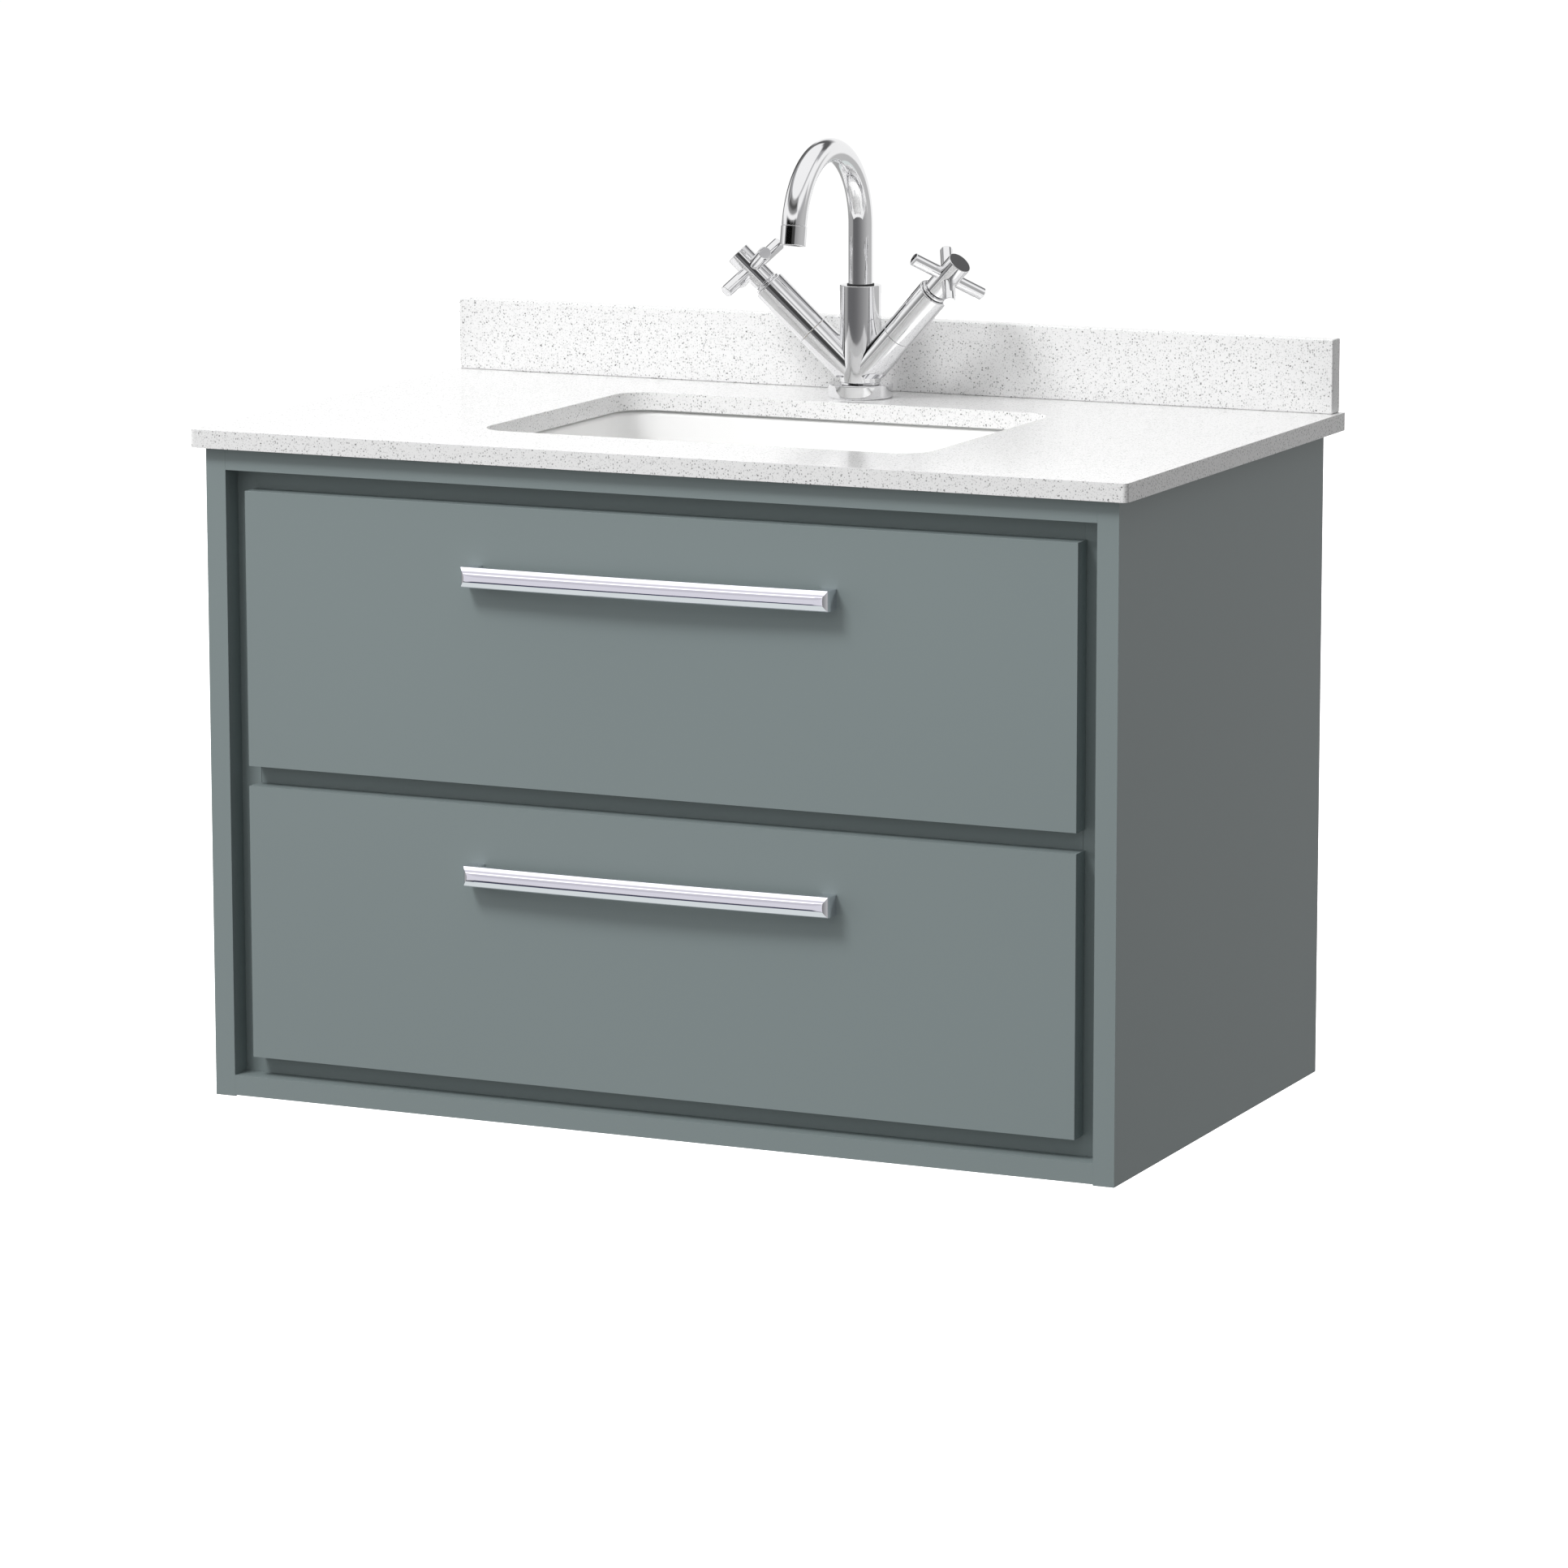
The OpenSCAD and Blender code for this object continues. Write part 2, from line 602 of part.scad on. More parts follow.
// the bend turns about a level axis in front of the column
module on_bend() translate([0, tap_y - spout_r, uz(bend_h)]) children();
module spout() color(metal) difference() {
  union() {
    on_tap(column_top - spout_foot + 1) cylinder(d = spout_d, h = bend_h - column_top + spout_foot - 1);
    on_bend() rotate([90, 0, 90]) rotate_extrude(angle = spout_sweep) translate([spout_r, 0])
      circle(d = spout_d);
  }
  on_tap(column_top - spout_foot) cylinder(r = spout_bore_r, h = bend_h - column_top + spout_foot + eps);
  on_bend() rotate([90, 0, 90]) rotate_extrude(angle = spout_sweep + 1) translate([spout_r, 0])
    circle(r = spout_bore_r);
}
module aerator() color(metal) on_bend() rotate([spout_sweep, 0, 0]) translate([0, spout_r, 0])
  difference() {
    cylinder(d = spout_d + 0.8, h = aerator_len);
    translate([0, 0, -1]) cylinder(r = spout_bore_r, h = aerator_len - 1);
    for (a = [0 : 45 : 315]) rotate(a) translate([4.6, 0, -1]) cylinder(r = 1.2, h = aerator_len + 2);
  }

// ---- drawers ----

module drawer_front(low) color(paint) difference() {
  board(-front_x, front_x, front_setback, front_setback + front_t, low, low + front_h);
  pull_screw_places(low) pull_screw_shape(fit);
}
module box_sides(low, high) color(white_board) for (s = [-1, 1]) difference() {
  side_board(s, boxin_x, boxside_x, box_front, box_back, low, high);
  board(-boxin_x - groove, boxin_x + groove, box_front - 1, box_back + 1,
        low + groove_up, low + groove_up + panel_t);
}
module upper_box_sides() box_sides(upper_box_low, upper_box_low + upper_box_h);
module lower_box_sides() box_sides(lower_box_low, lower_box_low + lower_box_h);
// the upper drawer's back steps forward round the waste pipe
module upper_box_back() color(white_board) {
  low = upper_box_low + groove_up + panel_t;
  high = upper_box_low + upper_box_h;
  difference() {
    union() {
      board(-boxin_x, boxin_x, box_back - box_t, box_back, low, high);
      board(-notch_w/2 - box_t, notch_w/2 + box_t, notch_front - box_t, box_back, low, high);
    }
    board(-notch_w/2, notch_w/2, notch_front, box_back + 1, low - 1, high + 1);
  }
}
module upper_box_base() color(white_board) difference() {
  board(-boxin_x - groove, boxin_x + groove, box_front, box_back,
        upper_box_low + groove_up, upper_box_low + groove_up + panel_t);
  board(-notch_w/2, notch_w/2, notch_front, box_back + 1, upper_box_low, upper_box_low + upper_box_h);
}
module lower_box_back() color(white_board)
  board(-boxin_x, boxin_x, box_back - box_t, box_back,
        lower_box_low + groove_up + panel_t, lower_box_low + lower_box_h);
module lower_box_base() color(white_board)
  board(-boxin_x - groove, boxin_x + groove, box_front, box_back,
        lower_box_low + groove_up, lower_box_low + groove_up + panel_t);

// ---- handles ----

module pull_screw_places(low) {
  for (s = [-1, 1]) translate([s*pull_hole, fy(front_setback + front_t), uz(low + front_h - pull_drop)])
    rotate([90, 0, 0]) children();
}
module pull_screw_shape(gap = 0)
  screw(r = pull_screw_r, len = front_t + 9, head_r = 4, head_t = 2.4, gap = gap);
// seen from above: a bowed bar with a foot turned back at each end
module pull_plan() difference() {
  intersection() {
    translate([0, pull_curve_r - pull_reach]) circle(pull_curve_r, $fn = 256);
    translate([-pull_len/2, -pull_reach]) square([pull_len, pull_reach]);
  }
  intersection() {
    translate([0, pull_curve_r - pull_reach + pull_bar_t]) circle(pull_curve_r, $fn = 256);
    translate([-pull_len/2 + pull_foot, -pull_reach]) square([pull_len - 2*pull_foot, pull_reach + 1]);
  }
}
module pull(low) color(metal) difference() {
  translate([0, fy(pull_face), uz(low + front_h - pull_drop)]) intersection() {
    translate([0, 0, -pull_h/2]) linear_extrude(pull_h) pull_plan();
    rotate([90, 0, 90]) linear_extrude(pull_len, center = true) union() {
      translate([pull_face_r - pull_reach, 0]) circle(pull_face_r);
      translate([pull_face_r - pull_reach - 5, -pull_h/2]) square([pull_reach, pull_h]);
    }
  }
  pull_screw_places(low) pull_screw_shape(fit);
}
module pull_screws(low) color(zinc) pull_screw_places(low) pull_screw_shape();

// ---- runners ----

// seen along the runner: a channel with its web outwards, from x1 to x2 and h high
module channel(x1, x2, h, web_out) difference() {
  translate([x1, -h/2]) square([x2 - x1, h]);
  translate([web_out ? x1 - 1 : x1 + runner_gauge, -h/2 + runner_gauge])
    square([x2 - x1 + 1 - runner_gauge, h - 2*runner_gauge]);
}
module runner(mid, x1, x2, h, web_out) color(zinc) for (s = [0, 1]) mirror([s, 0, 0])
  translate([0, fy(runner_front + runner_len), uz(mid)]) rotate([90, 0, 0])
    linear_extrude(runner_len) channel(x1, x2, h, web_out);
module runner_outer(mid) runner(mid, box_x - 9.5, box_x, runner_h, true);
module runner_middle(mid) runner(mid, box_x - 9.6, box_x - 2*runner_gauge, runner_h - 7, true);
module runner_inner(mid) runner(mid, boxside_x, box_x - 4.6, runner_h - 15, false);

side_panel(-1);  // side_panel_left
side_panel(1);  // side_panel_right
top_rail();
bottom_panel();
carcass_side(-1);  // carcass_side_left
carcass_side(1);  // carcass_side_right
carcass_base();
carcass_top_rail();
carcass_mid_rail();
back_panel();
hanging_rail();
lower_rail();
wall_batten_upper();
wall_batten_lower();
frame_dowels();
carcass_screws();
panel_screws();
batten_screws();
worktop();
upstand();
basin();
basin_seal();
basin_clips();
basin_clip_screws();
overflow_ring();
waste_body();
waste_seals();
waste_backnut();
waste_plug();
tap_base_ring();
tap_body();
tap_shank();
tap_backnut();
valve_sleeves();
valve_cartridges();
valve_neck_rings();
hot_handle();
cold_handle();
spout_ring();
spout();
aerator();
drawer_front(upper_base);  // upper_drawer_front
upper_box_sides();
upper_box_back();
upper_box_base();
pull(upper_base);  // upper_handle
pull_screws(upper_base);  // upper_handle_screws
drawer_front(lower_base);  // lower_drawer_front
lower_box_sides();
lower_box_back();
lower_box_base();
pull(lower_base);  // lower_handle
pull_screws(lower_base);  // lower_handle_screws
runner_outer(upper_runner_mid);  // upper_runner_outer
runner_middle(upper_runner_mid);  // upper_runner_middle
runner_inner(upper_runner_mid);  // upper_runner_inner
runner_outer(lower_runner_mid);  // lower_runner_outer
runner_middle(lower_runner_mid);  // lower_runner_middle
runner_inner(lower_runner_mid);  // lower_runner_inner
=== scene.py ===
"""Looks of a wall-hung bathroom vanity, laid out as an add-on and run as a script.

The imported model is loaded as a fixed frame. Boards, stone and small fittings keep their own shape and
get rounded edges and a finish. The basin, the plug, the tap and the drawer handles are modelled here.
Everything is in metres: X to the right, the drawers face -Y, Z up, and the wall is the plane Y = 0.
"""

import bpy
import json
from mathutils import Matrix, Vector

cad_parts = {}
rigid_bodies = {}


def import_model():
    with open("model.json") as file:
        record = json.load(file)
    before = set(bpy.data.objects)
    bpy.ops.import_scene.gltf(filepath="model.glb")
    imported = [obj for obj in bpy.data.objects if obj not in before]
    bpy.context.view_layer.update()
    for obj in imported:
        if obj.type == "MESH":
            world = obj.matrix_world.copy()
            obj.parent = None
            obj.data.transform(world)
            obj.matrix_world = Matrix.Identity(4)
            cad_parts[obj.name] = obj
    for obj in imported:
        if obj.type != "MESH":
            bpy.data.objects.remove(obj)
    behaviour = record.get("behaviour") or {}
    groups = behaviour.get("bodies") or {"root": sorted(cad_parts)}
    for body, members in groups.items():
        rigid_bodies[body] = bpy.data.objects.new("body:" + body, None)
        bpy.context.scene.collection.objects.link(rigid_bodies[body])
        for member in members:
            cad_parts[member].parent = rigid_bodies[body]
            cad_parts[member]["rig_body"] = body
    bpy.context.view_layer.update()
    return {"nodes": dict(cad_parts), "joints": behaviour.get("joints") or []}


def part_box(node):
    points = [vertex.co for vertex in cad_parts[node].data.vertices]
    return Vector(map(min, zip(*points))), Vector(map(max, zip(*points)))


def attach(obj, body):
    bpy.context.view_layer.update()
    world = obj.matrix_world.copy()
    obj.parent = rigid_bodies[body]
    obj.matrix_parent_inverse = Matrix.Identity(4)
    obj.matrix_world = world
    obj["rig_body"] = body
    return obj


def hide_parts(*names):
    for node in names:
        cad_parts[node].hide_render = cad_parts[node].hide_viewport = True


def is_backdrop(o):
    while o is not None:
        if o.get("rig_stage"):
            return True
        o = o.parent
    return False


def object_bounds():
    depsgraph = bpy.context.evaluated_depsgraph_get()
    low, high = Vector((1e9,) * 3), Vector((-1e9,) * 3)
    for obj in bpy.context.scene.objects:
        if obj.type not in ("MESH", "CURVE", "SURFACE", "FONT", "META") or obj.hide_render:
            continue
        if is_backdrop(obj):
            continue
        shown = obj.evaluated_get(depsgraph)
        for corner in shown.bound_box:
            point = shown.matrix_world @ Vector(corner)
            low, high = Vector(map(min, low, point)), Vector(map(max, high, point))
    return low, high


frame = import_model()

import json
import math

import bmesh
import bpy
from bpy.props import FloatProperty, FloatVectorProperty, PointerProperty
from bpy.types import Operator, Panel, PropertyGroup
from mathutils import Matrix, Vector

bl_info = {
    "name": "Wall-hung vanity",
    "version": (1, 0, 0),
    "blender": (4, 5, 0),
    "location": "3D View > Sidebar > Vanity",
    "description": "Builds the finishes and the modelled pieces of a wall-hung bathroom vanity",
    "category": "Object",
}

UP = Vector((0, 0, 1))


# ---- settings ----


def colour(name, description, default):
    """A colour property with a default in linear red, green and blue."""
    return FloatVectorProperty(
        name=name, description=description, default=default, subtype="COLOR", size=3, min=0, max=1
    )


def length(name, description, default):
    """A length property in metres."""
    return FloatProperty(
        name=name, description=description, default=default, min=0, unit="LENGTH", precision=5
    )


def share(name, description, default):
    """A property from 0 to 1."""
    return FloatProperty(
        name=name, description=description, default=default, min=0, max=1, subtype="FACTOR"
    )


class VanityFinishes(PropertyGroup):
    """Colours and gloss of the materials."""

    paint: colour("Paint", "Satin paint of the cabinet", (0.2375, 0.2835, 0.2868))
    paint_rough: share("Paint roughness", "How matt the satin paint is", 0.42)
    board: colour("White board", "Foil on the drawer boxes and the back", (0.80, 0.80, 0.78))
    pine: colour("Timber", "Sawn rails, battens and dowels", (0.60, 0.42, 0.24))
    stone: colour("Stone", "Ground colour of the worktop", (0.86, 0.86, 0.86))
    fleck: colour("Fleck", "Darkest flecks in the stone", (0.16, 0.16, 0.16))
    stone_rough: share("Stone roughness", "How dull the stone's polish is", 0.14)
    glaze: colour("Glaze", "Basin glaze", (0.95, 0.95, 0.945))
    chrome: colour("Chrome", "Tap, waste and overflow", (0.86, 0.86, 0.87))
    pull_chrome: colour("Handle chrome", "Drawer handles", (0.86, 0.86, 0.90))
    zinc: colour("Zinc", "Screws, clips and runners", (0.55, 0.56, 0.58))
    brass: colour("Brass", "Nuts, shank and cartridges", (0.66, 0.47, 0.20))
    rubber: colour("Rubber", "Black seals", (0.020, 0.020, 0.021))
    sealant: colour("Sealant", "Bead between basin and stone", (0.62, 0.63, 0.62))


class VanityShapes(PropertyGroup):
    """Sizes of the modelled pieces and of the rounded edges."""

    board_edge: length("Board edge", "Rounding of painted board edges", 0.0017)
    stone_edge: length("Stone edge", "Rounding of the polished stone edges", 0.0013)
    bowl_wide: length("Bowl width", "Inside width of the bowl", 0.398)
    bowl_deep: length("Bowl depth front to back", "Inside size of the bowl from front to back", 0.290)
    bowl_corner: length("Bowl corner", "Corner radius of the bowl's walls", 0.030)
    bowl_floor_edge: length("Bowl floor edge", "Radius between the walls and the floor", 0.042)
    bowl_wall: length("Bowl wall", "Thickness of the ceramic", 0.009)
    column_radius: length("Column radius", "Radius of the tap's column", 0.0175)
    arm_radius: length("Arm radius", "Radius of the two valve arms", 0.014)
    arm_joint: length("Arm joint", "Distance along an arm to the sleeve's joint line", 0.0575)
    arm_end: length("Arm end", "Distance along an arm to the sleeve's end", 0.111)
    hub_radius: length("Hub radius", "Radius of a cross handle's hub", 0.0104)
    hub_end: length("Hub end", "Distance along an arm to the hub's end", 0.1485)
    spoke_radius: length("Spoke radius", "Radius of a cross handle's spokes", 0.0054)
    spoke_span: length("Spoke span", "Distance between opposite spoke tips", 0.069)
    tube_radius: length("Tube radius", "Outside radius of the spout", 0.0103)
    bend_radius: length("Bend radius", "Radius of the spout's bend", 0.068)
    pull_bar: length("Handle bar", "Thickness of the handle's bar", 0.008)
    pull_bow: length("Handle bow", "How far the bar's middle stands out past its ends", 0.003)
    pull_foot: length("Handle foot", "Width of a handle's foot", 0.013)
    pull_round: length("Handle corner", "Rounding of a handle's outer corners, seen from above", 0.007)
    pull_face: length("Handle face", "Radius of the bar's rounded face", 0.0115)


class VanityStudio(PropertyGroup):
    """Camera and light."""

    camera_spot: FloatVectorProperty(
        name="Camera", description="Where the camera stands", size=3, unit="LENGTH",
        subtype="TRANSLATION", default=(2.2856, -5.2150, 0.7824),
    )
    camera_turn: FloatVectorProperty(
        name="Camera turn", description="Rotation of the camera", size=3, subtype="EULER",
        default=(math.radians(79.802), math.radians(0.069), math.radians(24.581)),
    )
    lens: FloatProperty(
        name="Lens", description="Focal length", default=154.04, min=1, unit="CAMERA"
    )
    key_power: FloatProperty(
        name="Key light", description="Power of the soft key light", default=110, min=0, unit="POWER"
    )
    sky: FloatProperty(
        name="Overhead light", description="Brightness of the room above", default=1.02, min=0
    )
    ground: FloatProperty(
        name="Bounce light", description="Brightness of the room below", default=0.33, min=0
    )


# ---- shader maths ----


class Wire:
    """A node's output socket. Arithmetic on it adds Math nodes, and node() adds any other node."""

    def __init__(self, tree, socket=None):
        self.tree = tree
        self.socket = socket

    def node(self, kind, settings=(), inputs=(), output=0):
        """Add a node: settings are its own properties, inputs the values or wires of its sockets."""
        made = self.tree.nodes.new(kind)
        for name, value in dict(settings).items():
            setattr(made, name, value)
        for name, value in dict(inputs).items():
            if isinstance(value, Wire):
                self.tree.links.new(value.socket, made.inputs[name])
            else:
                made.inputs[name].default_value = value
        return Wire(self.tree, made.outputs[output] if made.outputs else None)

    def math(self, operation, *terms):
        """A Math node on these terms."""
        return self.node("ShaderNodeMath", {"operation": operation}, dict(enumerate(terms)))

    def __add__(self, other):
        return self.math("ADD", self, other)

    __radd__ = __add__

    def __sub__(self, other):
        return self.math("SUBTRACT", self, other)

    def __rsub__(self, other):
        return self.math("SUBTRACT", other, self)

    def __mul__(self, other):
        return self.math("MULTIPLY", self, other)

    __rmul__ = __mul__

    def __gt__(self, other):
        return self.math("GREATER_THAN", self, other)

    def __lt__(self, other):
        return self.math("LESS_THAN", self, other)

    def mix(self, low, high):
        """The colour low where this wire is 0 and high where it is 1."""
        ends = {6: tint(low), 7: tint(high)}
        return self.node("ShaderNodeMix", {"data_type": "RGBA"}, {0: self, **ends}, 2)

    def fade(self, start, end, low=0.0, high=1.0):
        """A smooth change from low at start to high at end."""
        return self.node(
            "ShaderNodeMapRange", {"interpolation_type": "SMOOTHSTEP"},
            {"Value": self, "From Min": start, "From Max": end, "To Min": low, "To Max": high},
        )

    def band(self, start, end, soft):
        """1 between start and end, and 0 outside, with edges soft wide."""
        return self.fade(start - soft, start + soft) * self.fade(end - soft, end + soft, 1.0, 0.0)

    def noise(self, scale, detail=2.0):
        """Noise from 0 to 1 with this many lumps to the metre."""
        return self.node("ShaderNodeTexNoise", {}, {"Vector": self, "Scale": scale, "Detail": detail})

    def stretched(self, x, y, z):
        """These coordinates multiplied by x, y and z."""
        return self.node("ShaderNodeMapping", {}, {"Vector": self, "Scale": (x, y, z)})

    def bumps(self, height, strength):
        """A normal raised by height, a distance in metres, times this wire."""
        return self.node(
            "ShaderNodeBump", {}, {"Height": self, "Distance": height, "Strength": strength}
        )


def tint(value):
    """A colour of three parts as four, or a wire as it is."""
    return value if isinstance(value, Wire) else (*value, 1.0)


def scaled(value, factor):
    """A colour made lighter or darker."""
    return tuple(part * factor for part in value)


def satin_paint(place, finishes):
    """Sprayed satin paint: a very fine grain, and a slow drift in tone."""
    grain = place.noise(1500.0, 3.0)
    drift = place.noise(2.6, 1.0)
    tone = grain * 0.6 + drift * 0.4
    return {
        "Base Color": tone.mix(scaled(finishes.paint, 0.93), scaled(finishes.paint, 1.07)),
        "Roughness": grain * 0.08 + (finishes.paint_rough - 0.04),
        "Specular IOR Level": 0.35,
        "Normal": place.noise(620.0, 2.0).bumps(0.00004, 0.5),
    }


def foil_board(place, finishes):
    """White foil with a fine pearl pressed into it."""
    pearl = place.noise(1900.0, 2.0)
    dust = place.noise(9.0, 4.0)
    return {
        "Base Color": dust.mix(scaled(finishes.board, 0.95), scaled(finishes.board, 1.04)),
        "Roughness": pearl * 0.16 + 0.40,
        "Normal": pearl.bumps(0.00008, 0.6),
    }


def sawn_pine(place, finishes):
    """Pine with long grain in darker and lighter bands and a sawn surface."""
    sway = place.stretched(3.0, 14.0, 14.0).noise(1.0, 3.0)
    rings = place.stretched(5.0, 190.0, 190.0).noise(1.0, 5.0) * 0.6 + sway * 0.4
    fibre = place.stretched(60.0, 2200.0, 2200.0).noise(1.0, 2.0)
    wood = rings.fade(0.38, 0.66).mix(scaled(finishes.pine, 0.72), scaled(finishes.pine, 1.16))
    return {
        "Base Color": wood,
        "Roughness": fibre * 0.2 + 0.62,
        "Normal": (fibre + rings).bumps(0.00015, 0.7),
    }


def zinc_plate(place, finishes):
    """Bright zinc plate with a faint crystal pattern and rubbed streaks."""
    crystal = place.node("ShaderNodeTexVoronoi", {}, {"Vector": place, "Scale": 320.0}, "Color")
    shade = place.node("ShaderNodeSeparateColor", {}, {"Color": crystal})
    streak = place.stretched(900.0, 24.0, 900.0).noise(1.0, 2.0)
    return {
        "Base Color": (shade * 0.5 + streak * 0.5).mix(
            scaled(finishes.zinc, 0.86), scaled(finishes.zinc, 1.14)
        ),
        "Metallic": 1.0,
        "Roughness": streak * 0.16 + shade * 0.08 + 0.26,
        "Normal": streak.bumps(0.00003, 0.5),
    }


def fleck_layer(place, per_metre, kept, size):
    """A mask of small uneven flecks: kept is the share of cells with one, and size its radius."""
    wobble = place.noise(per_metre * 1.7, 1.0)
    cells = {"Vector": place, "Scale": per_metre, "Randomness": 1.0}
    near = place.node("ShaderNodeTexVoronoi", {}, cells, "Distance")
    pick = place.node("ShaderNodeTexVoronoi", {}, cells, "Color")
    chance = place.node("ShaderNodeSeparateColor", {}, {"Color": pick})
    return (near + wobble * 0.35).fade(size, size + 0.16, 1.0, 0.0) * (chance < kept)


def flecked_stone(place, finishes):
    """Polished quartz: a pale ground, grey grains of three sizes, and a clear polish."""
    ground = place.noise(520.0, 3.0).mix(scaled(finishes.stone, 0.955), scaled(finishes.stone, 1.035))
    pale = fleck_layer(place, 760.0, 0.55, 0.44).mix(ground, scaled(finishes.stone, 0.74))
    grey = fleck_layer(place.stretched(1.0, 1.0, 0.8), 520.0, 0.44, 0.38)
    dark = fleck_layer(place.stretched(0.8, 1.0, 1.0), 330.0, 0.24, 0.27)
    mid = grey.mix(pale, scaled(finishes.stone, 0.46))
    cloud = place.noise(7.0, 2.0)
    return {
        "Base Color": dark.mix(mid, finishes.fleck),
        "Roughness": cloud * 0.05 + grey * 0.04 + (finishes.stone_rough - 0.025),
        "Normal": place.noise(90.0, 2.0).bumps(0.00003, 0.25),
    }


def white_glaze(place, finishes):
    """Fired white glaze, very slightly wavy."""
    wave = place.noise(24.0, 2.0)
    body = place.noise(5.0, 3.0)
    return {
        "Base Color": body.mix(scaled(finishes.glaze, 0.985), scaled(finishes.glaze, 1.01)),
        "Roughness": wave * 0.05 + 0.05,
        "Coat Weight": 0.4,
        "Coat Roughness": 0.03,
        "Normal": wave.bumps(0.0004, 0.15),
    }


def plated(place, base, rough):
    """Bright plating over polished metal: fine polishing marks and a faint film."""
    film = place.noise(28.0, 4.0)
    marks = place.stretched(700.0, 700.0, 160.0).noise(1.0, 2.0)
    return {
        "Base Color": film.mix(scaled(base, 0.975), scaled(base, 1.02)),
        "Metallic": 1.0,
        "Roughness": film * 0.02 + marks * 0.015 + rough,
        "Normal": marks.bumps(0.000006, 0.12),
    }


def tap_chrome(place, finishes):
    """Chrome of the tap and the waste."""
    return plated(place, finishes.chrome, 0.03)


def pull_plate(place, finishes):
    """Chrome of the drawer handles, polished along their length."""
    return plated(place.stretched(0.1, 0.3, 0.3), finishes.pull_chrome, 0.02)


def turned_brass(place, finishes):
    """Machined brass with turning marks and a little tarnish."""
    tarnish = place.noise(60.0, 4.0)
    turning = place.stretched(40.0, 40.0, 3200.0).noise(1.0, 1.0)
    return {
        "Base Color": tarnish.mix(scaled(finishes.brass, 0.72), scaled(finishes.brass, 1.12)),
        "Metallic": 1.0,
        "Roughness": turning * 0.14 + tarnish * 0.10 + 0.20,
        "Normal": turning.bumps(0.00004, 0.5),
    }


def black_rubber(place, finishes):
    """Moulded rubber with a dusty bloom."""
    bloom = place.noise(240.0, 4.0)
    return {
        "Base Color": bloom.mix(scaled(finishes.rubber, 0.8), scaled(finishes.rubber, 1.9)),
        "Roughness": bloom * 0.2 + 0.55,
        "Normal": bloom.bumps(0.00006, 0.5),
    }


def clear_sealant(place, finishes):
    """A smoothed bead of pale grey sealant."""
    skin = place.noise(160.0, 2.0)
    return {
        "Base Color": skin.mix(scaled(finishes.sealant, 0.95), scaled(finishes.sealant, 1.04)),
        "Roughness": skin * 0.1 + 0.30,
        "Normal": skin.bumps(0.0001, 0.3),
    }


RECIPES = {
    "satin_paint": satin_paint,
    "foil_board": foil_board,
    "sawn_pine": sawn_pine,
    "zinc_plate": zinc_plate,
    "flecked_stone": flecked_stone,
    "white_glaze": white_glaze,
    "tap_chrome": tap_chrome,
    "pull_plate": pull_plate,
    "turned_brass": turned_brass,
    "black_rubber": black_rubber,
    "clear_sealant": clear_sealant,
}


def finish_of(name):
    """The material of that name, made on its first use."""
    material = bpy.data.materials.get(name)
    if material:
        return material
    material = bpy.data.materials.new(name)
    material.use_nodes = True
    tree = material.node_tree
    tree.nodes.clear()
    place = Wire(tree).node("ShaderNodeTexCoord", output="Object")
    sockets = RECIPES[name](place, bpy.context.scene.vanity_finishes)
    surface = place.node("ShaderNodeBsdfPrincipled", {}, sockets)
    place.node("ShaderNodeOutputMaterial", {}, {"Surface": surface})
    return material


# ---- mesh building ----


def rounded(corners, steps=5):
    """A line through (x, y) or (x, y, radius) corners, with an arc at each corner that has a radius."""
    line = []
    for i, corner in enumerate(corners):
        here = Vector(corner[:2])
        radius = corner[2] if len(corner) > 2 else 0.0
        if not radius or i in (0, len(corners) - 1):
            line.append(tuple(here))
            continue
        back = (Vector(corners[i - 1][:2]) - here).normalized()
        on = (Vector(corners[i + 1][:2]) - here).normalized()
        half = back.angle(on) / 2
        reach = radius / math.tan(half)
        centre = here + (back + on).normalized() * (radius / math.sin(half))
        first = here + back * reach - centre
        turn = first.angle_signed(here + on * reach - centre)
        for k in range(steps + 1):
            arm = first.copy()
            arm.rotate(Matrix.Rotation(-turn * k / steps, 2))
            line.append(tuple(centre + arm))
    return line


def round_box(half_x, half_y, corner, z, middle=(0.0, 0.0), steps=10):
    """A level ring: a rectangle with rounded corners, and the same number of points at every size."""
    ring = []
    for quarter in range(4):
        sign_x, sign_y = ((1, 1), (-1, 1), (-1, -1), (1, -1))[quarter]
        centre = Vector((sign_x * (half_x - corner), sign_y * (half_y - corner)))
        for k in range(steps + 1):
            angle = math.radians(90 * (quarter + k / steps))
            x = centre.x + corner * math.cos(angle)
            y = centre.y + corner * math.sin(angle)
            ring.append((middle[0] + x, middle[1] + y, z))
    return ring


def disc_ring(like, radius, z, middle):
    """A level circle whose points lie in the same directions as those of another ring."""
    ring = []
    for point in like:
        angle = math.atan2(point[1] - middle[1], point[0] - middle[0])
        ring.append((middle[0] + radius * math.cos(angle), middle[1] + radius * math.sin(angle), z))
    return ring


def circle(radius, height, sides):
    """A level circle about the local Z axis."""
    step = 2 * math.pi / sides
    return [(radius * math.cos(i * step), radius * math.sin(i * step), height) for i in range(sides)]


